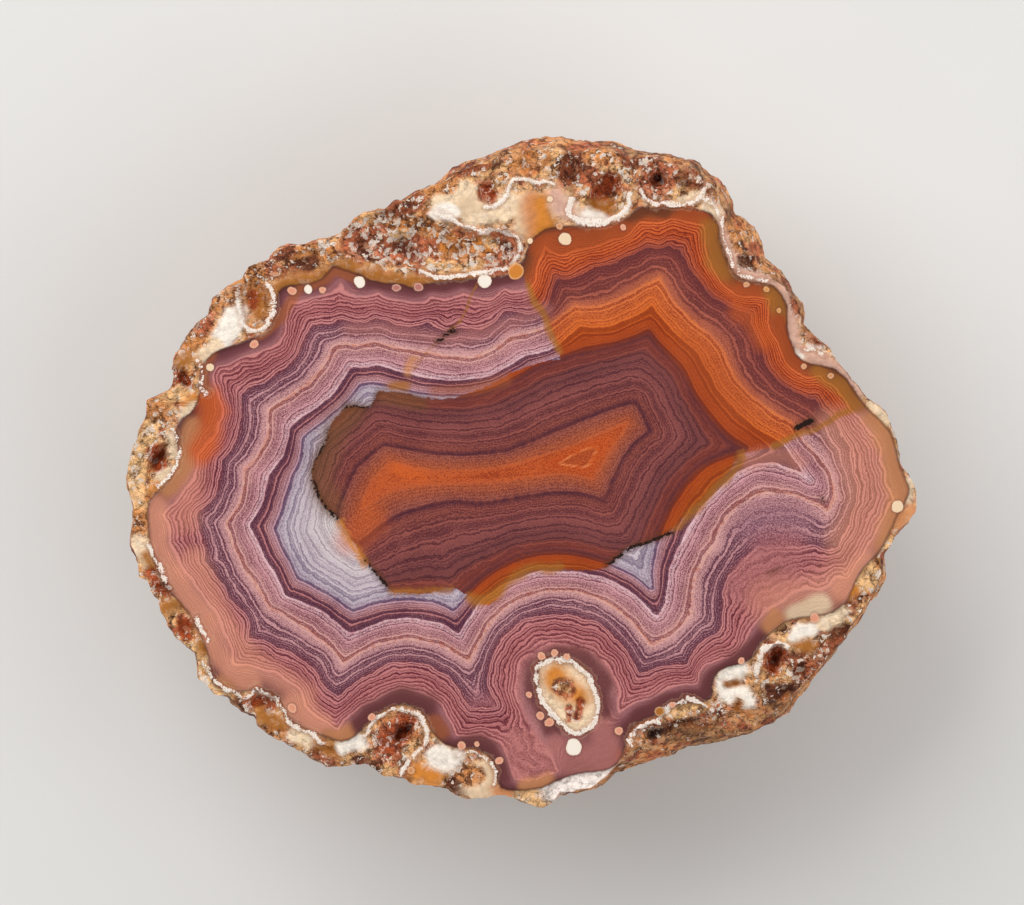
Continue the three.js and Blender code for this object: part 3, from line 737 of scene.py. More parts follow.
# Fine cracks stained ochre: (half width in pixels, points).
CRACKS = [
    (1.2, [(478, 283), (470, 296), (466, 310), (460, 322), (450, 330)]),
    (1.2, [(436, 344), (428, 350), (422, 358), (413, 371)]),
]

# Colours along the growth lines, dark and light sRGB of the fine bands at each place: 0 at the wall, 1 at the
# first line and so on inwards.
PLAIN_BANDS = [
    (0, (78, 38, 38), (106, 56, 52)), (0.25, (94, 48, 52), (126, 72, 74)),
    (0.6, (114, 62, 68), (152, 94, 96)), (0.9, (142, 88, 92), (184, 124, 122)),
    (1, (126, 62, 68), (202, 130, 126)), (1.5, (98, 36, 46), (190, 114, 114)),
    (2, (98, 40, 54), (200, 130, 128)), (2.06, (90, 46, 62), (172, 112, 118)),
    (2.3, (90, 48, 66), (188, 130, 134)), (2.38, (98, 50, 66), (201, 149, 151)),
    (2.7, (88, 44, 64), (197, 143, 146)), (3, (116, 62, 74), (214, 160, 156)),
    (3.05, (138, 78, 76), (224, 170, 156)), (3.1, (134, 66, 60), (196, 120, 100)),
    (3.17, (126, 70, 78), (216, 160, 152)), (3.5, (110, 57, 70), (204, 146, 149)),
    (3.8, (104, 54, 70), (210, 156, 160)), (3.95, (98, 52, 72), (228, 190, 194)),
    (4.03, (80, 40, 58), (180, 116, 124)), (4.2, (80, 38, 56), (186, 118, 122)),
    (4.35, (82, 40, 58), (192, 122, 116)), (4.7, (100, 56, 74), (202, 150, 154)),
    (4.9, (84, 60, 90), (184, 146, 162)), (5.05, (116, 100, 122), (200, 184, 192)),
    (5.3, (138, 120, 136), (202, 186, 192)), (5.6, (162, 146, 154), (212, 198, 200)),
    (6, (186, 172, 174), (226, 216, 212)),
]
# The same where the bands are wide and hardly lined, in the wedge and in the core
CALM_BANDS = [
    (1, (134, 72, 74), (204, 132, 124)), (2, (132, 70, 76), (198, 126, 124)),
    (2.5, (108, 64, 82), (186, 134, 142)), (3, (118, 70, 84), (202, 146, 148)),
]
WEDGE_BANDS = [
    (0, (78, 40, 34), (122, 66, 42)), (0.4, (118, 60, 32), (166, 88, 42)),
    (0.85, (146, 62, 32), (192, 92, 46)), (1, (146, 50, 22), (218, 108, 56)),
    (1.5, (120, 38, 20), (202, 90, 42)), (1.9, (108, 40, 34), (190, 92, 62)),
    (2.05, (96, 42, 44), (142, 70, 62)), (2.3, (102, 44, 44), (154, 78, 66)),
    (2.6, (106, 48, 46), (168, 90, 74)), (2.92, (124, 54, 44), (182, 98, 70)),
    (3.05, (150, 60, 32), (222, 120, 66)), (3.5, (144, 54, 26), (214, 108, 52)),
    (3.92, (148, 56, 20), (218, 108, 46)), (4.08, (146, 56, 16), (196, 90, 28)),
    (4.5, (138, 48, 18), (180, 76, 26)), (4.8, (132, 46, 20), (170, 72, 26)),
    (4.95, (100, 40, 30), (130, 54, 32)), (5.06, (80, 36, 42), (106, 48, 46)),
]
CORE_BANDS = [
    (4, (132, 60, 16), (186, 96, 28)), (4.4, (138, 54, 16), (180, 80, 22)),
    (4.8, (134, 48, 18), (172, 70, 22)), (4.95, (100, 42, 32), (134, 58, 36)),
    (5.04, (76, 34, 42), (104, 48, 48)), (5.12, (112, 48, 42), (148, 70, 54)),
    (5.25, (76, 36, 42), (118, 62, 60)), (5.4, (80, 36, 44), (136, 74, 70)),
    (5.7, (88, 38, 44), (144, 78, 72)), (5.92, (92, 40, 42), (146, 76, 64)),
    (6, (74, 34, 46), (104, 50, 56)), (6.07, (114, 54, 50), (160, 90, 76)),
    (6.5, (122, 54, 40), (168, 88, 62)), (6.9, (138, 60, 38), (184, 92, 54)),
    (7.05, (148, 56, 26), (192, 88, 42)), (7.95, (156, 54, 18), (198, 84, 30)),
    (8, (206, 108, 56), (230, 142, 88)), (8.1, (150, 58, 26), (186, 86, 40)),
]

# How light the fine bands are: (place, 0 dark to 1 light), for each space between two growth lines.
FINE_BANDS = [
    [(0, 0.3), (0.12, 0.15), (0.25, 0.35), (0.4, 0.2), (0.55, 0.4), (0.7, 0.3), (0.82, 0.5), (0.9, 0.3),
     (0.95, 0.5), (1, 0.9)],
    [(0, 0.9), (0.04, 0.95), (0.07, 0.5), (0.1, 0.15), (0.13, 0.6), (0.18, 0.7), (0.21, 0.1), (0.24, 0.65),
     (0.28, 0.8), (0.31, 0.55), (0.34, 0.05), (0.38, 0.5), (0.42, 0.85), (0.45, 0.6), (0.48, 0.1),
     (0.52, 0.55), (0.56, 0.9), (0.59, 0.5), (0.62, 0.05), (0.66, 0.55), (0.69, 0.8), (0.72, 0.2),
     (0.75, 0.6), (0.79, 0.95), (0.82, 0.3), (0.85, 0.05), (0.88, 0.6), (0.92, 0.75), (0.95, 0.4),
     (0.98, 0.9)],
    [(0, 0.9), (0.03, 0.35), (0.06, 0.1), (0.09, 0.4), (0.12, 0.15), (0.16, 0.5), (0.2, 0.15), (0.24, 0.5),
     (0.28, 0.2), (0.34, 0.5), (0.37, 0.95), (0.41, 0.5), (0.44, 0.15), (0.48, 0.4), (0.51, 0.1),
     (0.55, 0.35), (0.57, 0.1), (0.61, 0.6), (0.64, 0.85), (0.68, 0.45), (0.72, 0.15), (0.76, 0.5),
     (0.8, 0.75), (0.87, 0.7), (0.9, 0.4), (0.93, 0.75), (1, 0.85)],
    [(0, 0.85), (0.05, 0.95), (0.08, 0.85), (0.12, 0.35), (0.22, 0.3), (0.25, 0.8), (0.28, 0.9),
     (0.31, 0.55), (0.36, 0.45), (0.44, 0.6), (0.47, 0.35), (0.5, 0.6), (0.58, 0.5), (0.62, 0.65),
     (0.67, 0.55), (0.7, 1), (0.725, 0.9), (0.75, 0.1), (0.78, 0.6), (0.83, 0.75), (0.86, 0.4),
     (0.89, 0.65), (0.93, 0.5), (0.96, 1), (1, 0.9)],
    [(0, 0.8), (0.03, 0.1), (0.06, 0.4), (0.09, 0), (0.13, 0.35), (0.16, 0.05), (0.2, 0.4), (0.23, 0.1),
     (0.28, 0.85), (0.31, 0.6), (0.35, 0.1), (0.42, 0.1), (0.46, 0.45), (0.5, 0.6), (0.54, 0.3),
     (0.58, 0.65), (0.64, 0.5), (0.68, 0.7), (0.72, 0.35), (0.78, 0.85), (0.81, 0.7), (0.85, 0.2),
     (0.9, 0.1), (0.94, 0.3), (0.98, 0.6), (1, 0.8)],
    [(0, 0.8), (0.04, 0.35), (0.08, 0.7), (0.12, 0.3), (0.16, 0.5), (0.19, 0.75), (0.22, 0.35),
     (0.26, 0.65), (0.3, 0.8), (0.33, 0.3), (0.37, 0.6), (0.42, 0.75), (0.45, 0.25), (0.49, 0.6),
     (0.54, 0.8), (0.57, 0.4), (0.61, 0.7), (0.66, 0.55), (0.69, 0.2), (0.73, 0.6), (0.78, 0.75),
     (0.81, 0.35), (0.86, 0.65), (0.9, 0.45), (0.94, 0.7), (0.97, 0.2), (1, 0)],
    [(0, 0), (0.05, 0.1), (0.1, 0.6), (0.18, 0.3), (0.26, 0.7), (0.34, 0.4), (0.42, 0.65), (0.5, 0.35),
     (0.58, 0.7), (0.66, 0.45), (0.74, 0.75), (0.82, 0.4), (0.9, 0.7), (1, 0.9)],
    [(0, 1), (0.08, 0.4), (0.16, 0.7), (0.24, 0.45), (0.32, 0.75), (0.4, 0.5), (0.48, 0.8), (0.56, 0.5),
     (0.64, 0.7), (0.72, 0.4), (0.8, 0.7), (0.88, 0.5), (0.96, 0.8), (1, 1)],
    [(0, 1), (0.15, 1), (0.3, 0.3), (0.5, 0.5), (0.7, 0.3), (1, 0.5)],
]
# How grainy the bands are: (place as a share of the way in, amount).
STIPPLE = [
    (0, 0.1), (0.11, 0.3), (0.22, 0.3), (0.24, 0.55), (0.33, 0.45), (0.38, 0.45), (0.43, 0.5), (0.46, 0.35),
    (0.53, 0.3), (0.57, 0.3), (0.65, 0.5), (0.7, 1.1), (1, 1.1),
]
# How much the growth lines swell into small lobes: (place as a share of the way in, amount).
LOBES = [(0, 0.5), (0.1, 1), (0.2, 0.9), (0.33, 0.7), (0.5, 0.5), (0.58, 0.15), (1, 0.1)]

outline = np.array(OUTLINE, float)
MM_PER_PIXEL = STONE_WIDTH / np.ptp(outline[:, 0])
middle_pixel = (outline.min(axis=0) + outline.max(axis=0)) / 2


def to_face(pixels):
    """Pixels of the reference picture as millimetres in the plane of the face."""
    return (np.asarray(pixels, float) - ORIGIN_PIXEL) * (MM_PER_PIXEL, -MM_PER_PIXEL)


MIDDLE = np.append(to_face(middle_pixel), 0)  # the middle of the outline, which directions are taken from
outline_away = to_face(OUTLINE) - MIDDLE[:2]
outline_angles = np.arctan2(outline_away[:, 1], outline_away[:, 0])
outline_radii = np.linalg.norm(outline_away, axis=1)
inset_angles, inset_depths = np.array(SHOULDER_INSETS).T


def linear(colour):
    """An sRGB colour of 0 to 255 as the linear one that shaders use."""
    share = np.asarray(colour, float) / 255
    return np.where(share <= 0.04045, share / 12.92, ((share + 0.055) / 1.055) ** 2.4)


def smoothstep(low, high, value):
    share = np.clip((value - low) / (high - low), 0, 1)
    return share * share * (3 - 2 * share)


def rough(points, size, seed=0):
    """Even noise of about -1 to 1, with lumps of about the given size in millimetres."""
    offset = Vector((17.3 * seed, -9.1 * seed, 5.7 * seed))
    return np.array([noise.noise(Vector(p) / size + offset) for p in points])


def grains(points, size, seed=0):
    """0 in the middle of a grain to about 1 between grains of the given size in millimetres."""
    offset = Vector((11.9 * seed, 7.7 * seed, -4.3 * seed))
    found = (noise.voronoi(Vector(p) / size + offset)[0] for p in points)
    return np.array([1 - min(1, (d[1] - d[0]) * GRAIN_SHARPNESS) for d in found])


def rounded(points):
    """An open Catmull-Rom curve through pixels of the picture, in millimetres."""
    knots = to_face(points)
    if len(knots) < 3:
        return knots
    knots = np.vstack([2 * knots[0] - knots[1], knots, 2 * knots[-1] - knots[-2]])
    curve = []
    for p0, p1, p2, p3 in zip(knots, knots[1:], knots[2:], knots[3:]):
        bend = 2 * p0 - 5 * p1 + 4 * p2 - p3
        twist = 3 * p1 - 3 * p2 + p3 - p0
        for u in np.arange(CURVE_PIECES) / CURVE_PIECES:
            curve.append((2 * p1 + (p2 - p0) * u + bend * u**2 + twist * u**3) / 2)
    curve.append(knots[-2])
    return np.array(curve)


def growth_line(arcs):
    """One closed growth line, rounded along its arcs and sharp at its cusps."""
    line = []
    for arc, following in zip(arcs, arcs[1:] + arcs[:1]):
        line.append(rounded(arc + following[:1])[:-1])
    line = np.vstack(line)
    return np.vstack([line, line[:1]])


def distance(points, line):
    """Distance from each point to a line of straight pieces."""
    start = line[:-1]
    step = line[1:] - start
    square = (step**2).sum(axis=1)
    start, step, square = start[square > 0], step[square > 0], square[square > 0]
    found = np.empty(len(points))
    for first in range(0, len(points), POINTS_AT_ONCE):
        away = points[first : first + POINTS_AT_ONCE, None, :] - start
        along = np.clip((away * step).sum(axis=2) / square, 0, 1)
        squares = ((away - along[..., None] * step) ** 2).sum(axis=2)
        found[first : first + POINTS_AT_ONCE] = np.sqrt(squares.min(axis=1))
    return found


def inside(points, loop):
    """Whether each point lies inside a closed loop of straight pieces."""
    x, y = points[:, 0], points[:, 1]
    odd = np.zeros(len(points), bool)
    for (x0, y0), (x1, y1) in zip(loop[:-1], loop[1:]):
        if y0 == y1:
            continue
        odd ^= ((y0 > y) != (y1 > y)) & (x < (x1 - x0) * (y - y0) / (y1 - y0) + x0)
    return odd


def depth_inside(points, pixels):
    """Millimetres inside a closed outline given in pixels, negative outside it."""
    loop = growth_line([pixels])
    away = distance(points, loop)
    return np.where(inside(points, loop), away, -away)


def growth(points):
    """How far through the growth lines each point lies, and how wide its band is there in millimetres."""
    lines = [growth_line(arcs) for arcs in GROWTH_LINES]
    band = -distance(points, lines[0])
    width = np.ones(len(points))
    within = np.flatnonzero(inside(points, lines[0]))
    for number, line in enumerate(lines):
        outer = distance(points[within], line)
        if number == len(lines) - 1:
            band[within] = number + np.clip(outer, 0, 1)
            break
        inner = distance(points[within], lines[number + 1])
        band[within] = number + outer / (outer + inner + 1e-9)
        width[within] = outer + inner
        within = within[inside(points[within], lines[number + 1])]
    return band, width


def blended(places, shades, at):
    """Linear colours at some places of a row of sRGB colours."""
    shades = np.array([linear(shade) for shade in shades])
    return np.stack([np.interp(at, places, shades[:, c]) for c in range(3)], axis=1)


def along_bands(table, band):
    """The dark and the light linear colour of the fine bands, at each place."""
    places, dark, light = zip(*table)
    return blended(places, dark, band), blended(places, light, band)


def warped(points, size, reach, seed):
    """Points of the face shifted by noise, which makes edges wander."""
    flat = np.column_stack([points, np.zeros(len(points))])
    shift = np.column_stack([rough(flat, size, seed), rough(flat, size, seed + 1)])
    return points + reach * shift


def crumb_colours(points):
    """The crumbly stone of the rind and the back, in patches of several browns."""
    drift = 2.6 * rough(points, 3.2, 3) + 1.6 * rough(points, 1.1, 4) + len(CRUMBS) / 2
    return blended(range(len(CRUMBS)), [PALETTE[name][0] for name in CRUMBS], drift)


def laid(points, strokes, soft, clear_soft):
    """Strokes of palette colours laid over each other.

    Gives colour times cover, cover, and crumbliness times cover. The two shares say how soft the edges of
    crumbly and of clear stone are.
    """
    colour = np.zeros((len(points), 3))
    cover = np.zeros(len(points))
    crumb = np.zeros(len(points))
    for name, half_width, line in strokes:
        half = half_width * MM_PER_PIXEL
        away = distance(points, rounded(line))
        shade, crumbly = PALETTE[name]
        spread = half * (soft if crumbly > CLEAR_STONE else clear_soft)
        weight = 1 - smoothstep(half - spread, half + spread, away)
        colour += weight[:, None] * (linear(shade) - colour)
        cover += weight * (1 - cover)
        crumb += weight * (crumbly - crumb)
    return colour, cover, crumb


def spots(points):
    """Millimetres inside the nearest spot, negative outside it, and its colour."""
    depth = np.full(len(points), -FAR)
    colour = np.zeros((len(points), 3))
    for name, x, y, radius in SPOTS:
        found = radius * MM_PER_PIXEL - np.linalg.norm(points - to_face((x, y)), axis=1)
        colour[found > depth] = linear(PALETTE[name][0])
        depth = np.maximum(depth, found)
    return depth, colour


def depth_in_strokes(points, strokes):
    """Millimetres inside the nearest stroke, negative outside it."""
    depth = np.full(len(points), -FAR)
    for half_width, line in strokes:
        depth = np.maximum(depth, half_width * MM_PER_PIXEL - distance(points, rounded(line)))
    return depth


def pit_depth(points):
    """How deep the open tubes and pockets are at each point of the face."""
    deepest = np.zeros(len(points))
    length_wave, width_wave, depth_wave = PIT_WAVES
    for number, (pixel, long, wide, deep, turn) in enumerate(PITS):
        away = points - to_face(pixel)
        near = np.flatnonzero((np.abs(away) < PIT_REACH * long).all(axis=1))
        cos, sin = math.cos(math.radians(turn)), math.sin(math.radians(turn))
        u = (away[near, 0] * cos + away[near, 1] * sin) / long
        v = (away[near, 1] * cos - away[near, 0] * sin) / wide
        under = np.sqrt(np.clip(1 - u * u - v * v, 0, 1))
        ragged = np.sin(length_wave * u + number) * np.sin(width_wave * v - 2 * number)
        ragged = 1 + PIT_RAGGEDNESS * ragged * np.cos(depth_wave * under)
        depth = deep * ragged * np.sqrt(np.clip(1 - (u * u + v * v) / ragged**2, 0, 1))
        deepest[near] = np.maximum(deepest[near], depth)
    return deepest


def crumb_depth(points):
    """How far crumbly stone has broken away below the polish."""
    uneven = 0.15 + 0.7 * rough(points, 2.1, 7) + 0.45 * rough(points, 0.9, 8)
    return np.clip(uneven + 0.35 * (1 - grains(points, 0.8, 9)), 0, CRUMB_DEPTH)


def knobs(points):
    """0 in the creases between the knobs of the back, up to about 1 on top of them."""
    total = np.zeros(len(points))
    for k in range(KNOB_WAVES):
        height = 1 - 2 * (k + 0.5) / KNOB_WAVES
        flat = math.sqrt(1 - height * height)
        turn = k * GOLDEN_ANGLE
        way = np.array((math.cos(turn) * flat, math.sin(turn) * flat, height))
        length = KNOB_PITCH * (1 - (1 - SHORTEST_WAVE) * k / KNOB_WAVES)
        total += np.sin(points @ way * 2 * math.pi / length + WAVE_PHASE * k)
    return np.minimum(1, np.abs(total) / math.sqrt(KNOB_WAVES))


def ring(radius, height, angles):
    return np.column_stack([np.cos(angles) * radius, np.sin(angles) * radius, np.full(len(angles), height)])


def outside_rings():
    """Rings around the middle of the outline: down the side, round the back and over the resting spot."""
    rings = []
    for down in np.arange(SHOULDER_RINGS + 1) / SHOULDER_RINGS:
        angles = np.arange(RIM_POINTS) / RIM_POINTS * 2 * math.pi - math.pi
        inset = np.interp(np.degrees(angles), inset_angles, inset_depths, period=360)
        radius = np.interp(angles, outline_angles, outline_radii, period=2 * math.pi)
        radius = radius - inset * (1 - math.sin(down * math.pi / 2))
        rings.append(ring(radius, DEPTH - down * GIRTH_DEPTH, angles))
    for lean in np.arange(1, BACK_RINGS + 1) / BACK_RINGS * BACK_LEAN:
        angles = np.arange(RIM_POINTS // 2) / RIM_POINTS * 4 * math.pi - math.pi
        spread = (math.cos(lean) - math.cos(BACK_LEAN)) / (1 - math.cos(BACK_LEAN))
        radius = np.interp(angles, outline_angles, outline_radii, period=2 * math.pi)
        radius = REST_RADIUS + (radius - REST_RADIUS) * spread
        rings.append(ring(radius, (DEPTH - GIRTH_DEPTH) * (1 - math.sin(lean) / math.sin(BACK_LEAN)), angles))
    return [carved(points) for points in rings]


def carved(points):
    """Cuts the creases between the knobs and the fine roughness of the skin into side or back points."""
    away = points - (0, 0, DEPTH)
    away /= np.linalg.norm(away, axis=1)[:, None]
    near_face = np.minimum(1, (DEPTH - points[:, 2]) / (SKIN_DEPTH * GIRTH_DEPTH))
    near_rest = smoothstep(0, GIRTH_DEPTH, points[:, 2])
    cut = KNOB_HEIGHT * (1 - knobs(points)) * near_face
    cut += 0.4 * rough(points, 2.6, 11) + 0.22 * rough(points, 1.1, 12) + 0.12 * grains(points, 0.9, 13)
    return points - away * (cut * near_rest)[:, None] + MIDDLE


def face_rings(rim):
    """Rings of the face from its middle outwards, up to but without its edge."""
    rings = []
    for start, end, step, thinning in FACE_ZONES:
        count = round((end - start) * np.mean(outline_radii) / step)
        for share in np.linspace(start, end, count, endpoint=False):
            rings.append(MIDDLE + (rim[::thinning] - MIDDLE) * (share, share, 1))
    return rings[1:]


def stitch(rings):
    """Triangles between neighbouring rings, as (ring, sector) corners.

    A ring has as many points as its neighbour, twice as many or half as many. Sectors may run on past a ring.
    """
    corners = []
    for r, (first, second) in enumerate(zip(rings, rings[1:])):
        n, m = len(first), len(second)
        for s in range(min(n, m)):
            a = 2 * s if n > m else s
            b = 2 * s if m > n else s
            if n > m:
                corners += [((r, a), (r + 1, b), (r, a + 1)), ((r, a + 1), (r + 1, b), (r + 1, b + 1))]
                corners.append(((r, a + 1), (r + 1, b + 1), (r, a + 2)))
                continue
            corners += [((r, a), (r + 1, b), (r + 1, b + 1)), ((r, a), (r + 1, b + 1), (r, a + 1))]
            if m > n:
                corners.append(((r, a + 1), (r + 1, b + 1), (r + 1, b + 2)))
    return corners


def band_fields(points, wandering):
    """The growth bands at points of the face, with the colours that their fine lines run between."""
    band, width = growth(points)
    core, wedge = depth_inside(points, CORE), depth_inside(points, WEDGE)
    calm = CALM_MOST * smoothstep(4, 6, width) * (band < 4)
    dark, light = along_bands(PLAIN_BANDS, band)
    for shade, hushed in zip((dark, light), along_bands(CALM_BANDS, band)):
        shade += (calm * (band > 1) * smoothstep(3, 2.9, band))[:, None] * (hushed - shade)
    wedge_dark, wedge_light = along_bands(WEDGE_BANDS, band)
    core_dark, core_light = along_bands(CORE_BANDS, band)
    in_core = smoothstep(-0.3, 0.3, core)[:, None]

    tint, tinted, _ = laid(wandering, TINTS, 0.5, 0.6)
    tint, tinted = TINT_STRENGTH * tint, TINT_STRENGTH * tinted
    blush, blushed, _ = laid(points, BLUSHES, 0.8, 0.8)
    tint += BLUSH_STRENGTH * blush * (1 - tinted)[:, None]
    tinted += BLUSH_STRENGTH * blushed * (1 - tinted)
    keep = 1 - tinted[:, None]
    return {
        "band": band,
        "calm": calm,
        "stain": np.maximum(core, wedge),
        "plain_dark": dark * keep + DARK_TINT * tint,
        "plain_light": light * keep + LIGHT_TINT * tint,
        "stained_dark": (wedge_dark + in_core * (core_dark - wedge_dark)) * keep + DARK_TINT * tint,
        "stained_light": (wedge_light + in_core * (core_light - wedge_light)) * keep + LIGHT_TINT * tint,
    }


def rind_fields(points, wandering):
    """The rind, the pits and the small marks at points of the face."""
    flat = np.column_stack([points, np.zeros(len(points))])
    mark, mark_colour = spots(warped(points, 1.1, 0.2, 31))
    rim = depth_in_strokes(warped(points, 1.3, 0.35, 61), RIMS)
    stone, covered, crumb = laid(warped(points, 1.6, 0.6, 25), RIND, 0.3, 0.75)
    rind = np.maximum(-depth_inside(points, WALL[0]), depth_inside(wandering, OVAL))
    crumbly = np.clip(crumb + (1 - covered), 0, 1) * smoothstep(-0.05, 0.5, rind)
    crumbly *= smoothstep(0.1, -0.3, np.maximum(mark, rim))
    vug = smoothstep(-0.1, 0.7, depth_inside(wandering, VUG))
    lining = VUG_DEPTH + 0.5 * rough(flat, 0.8, 41) - 0.4 * grains(flat, 1.1, 42)
    broken = crumbly * crumb_depth(flat) + vug * lining
    return {
        "rind": rind,
        "rind_colour": crumb_colours(flat) * (1 - covered[:, None]) + stone,
        "crumbly": np.maximum(crumbly, vug),
        "druse": vug,
        "mark": mark,
        "mark_colour": mark_colour,
        "rim": rim,
        "speck": depth_in_strokes(points, DENDRITES),
        "crack": depth_in_strokes(warped(points, 1.5, 0.15, 51), CRACKS),
        "sunk": np.maximum(broken, pit_depth(points)),
    }


def outside_fields(points):
    """What the rough side and back are made of at each of their points, with painted shade in the creases
    between the knobs.
    """
    count = len(points)
    creases = 1 - knobs(points - MIDDLE)
    nowhere = ("band", "stain", "mark", "rim", "speck", "crack")
    bare = ("plain_dark", "plain_light", "stained_dark", "stained_light", "mark_colour")
    return {
        **{name: np.full(count, -FAR) for name in nowhere},
        **{name: np.zeros((count, 3)) for name in bare},
        "calm": np.zeros(count),
        "rind": np.full(count, FAR),
        # Painted shade in the creases between the knobs.
        "rind_colour": crumb_colours(points) * SKIN_WARMTH * (1 - CREASE_SHADE * creases[:, None]),
        "crumbly": np.ones(count),
        "druse": np.full(count, SKIN_DRUSE),
        "sunk": np.zeros(count),
    }


def flat_places(points, ring_shares, sector_shares, zones):
    """Where each corner lies in the flat map that the finish can be kept in: face, side strip or back."""
    face = MAP_MARGIN + (points[:, :2] / STONE_WIDTH + FACE_MAP_MIDDLE) * FACE_MAP
    left, lower, width, height = SIDE_MAP
    side = np.column_stack([left + width * ring_shares, lower + height * sector_shares])
    away = points[:, :2] - MIDDLE[:2]
    around = np.arctan2(away[:, 1], away[:, 0])
    radius = np.interp(around, outline_angles, outline_radii, period=2 * math.pi)
    reach = (1 - ring_shares) * radius / STONE_WIDTH
    back = np.column_stack([np.cos(around), np.sin(around)]) * reach[:, None] * BACK_MAP + BACK_MAP_MIDDLE
    return np.where(zones[:, None] == 0, face, np.where(zones[:, None] == 1, side, back))


def keep_fields(mesh, fields):
    """Keeps what the stone is made of as attributes of the vertices, for the material to read."""
    for name, values in fields.items():
        if values.ndim == 1:
            mesh.attributes.new(name, "FLOAT", "POINT").data.foreach_set("value", values)
        else:
            colours = np.column_stack([np.clip(values, 0, 1), np.ones(len(values))])
            mesh.attributes.new(name, "FLOAT_COLOR", "POINT").data.foreach_set("color", colours.ravel())


def agate_mesh():
    """The whole half stone as one closed mesh."""
    outside = outside_rings()
    face = face_rings(outside[0])
    spot = [MIDDLE + (outside[-1] - MIDDLE) * (share, share, 1) for share in SPOT_SHARES]
    rings = [MIDDLE[None] + (0, 0, DEPTH)] + face + outside + spot + [MIDDLE[None]]
    starts = np.cumsum([0] + [len(r) for r in rings])
    points = np.vstack(rings)
    on_face = np.arange(len(points)) < starts[len(face) + 2]

    flat = points[on_face, :2]
    wandering = warped(flat, 2.2, 0.55, 21)
    fields = band_fields(flat, wandering) | rind_fields(flat, wandering)
    for name, values in outside_fields(points[~on_face]).items():
        fields[name] = np.concatenate([fields[name], values])
    points[:, 2] -= fields["sunk"]

    corners = [((0, 0), (1, s), (1, s + 1)) for s in range(len(rings[1]))]
    corners += [((r + 1, a), (q + 1, b), (p + 1, c)) for (r, a), (q, b), (p, c) in stitch(rings[1:-1])]
    last = len(rings) - 2
    corners += [((last, s), (last + 1, 0), (last, s + 1)) for s in range(len(rings[last]))]
    corners = np.array(corners).reshape(-1, 2)
    sizes = np.array([len(r) for r in rings])[corners[:, 0]]
    vertices = starts[corners[:, 0]] + corners[:, 1] % sizes

    mesh = bpy.data.meshes.new("agate")
    mesh.from_pydata(points / MM_PER_METRE, [], vertices.reshape(-1, 3).tolist())
    deepest_ring = corners[:, 0].reshape(-1, 3).max(axis=1).repeat(3)
    rim = len(face) + 1
    girth = rim + SHOULDER_RINGS
    zones = (deepest_ring > rim).astype(int) + (deepest_ring > girth)
    side_shares = (corners[:, 0] - rim) / SHOULDER_RINGS
    back_shares = (corners[:, 0] - girth) / (last + 1 - girth)
    shares = np.where(zones == 1, side_shares, back_shares)
    places = flat_places(points[vertices], shares, corners[:, 1] / sizes, zones)
    mesh.uv_layers.new(name="OFBake").data.foreach_set("uv", places.ravel())
    keep_fields(mesh, fields)
    mesh.shade_smooth()
    mesh.set_sharp_from_angle(angle=SHARP_EDGE)
    return mesh


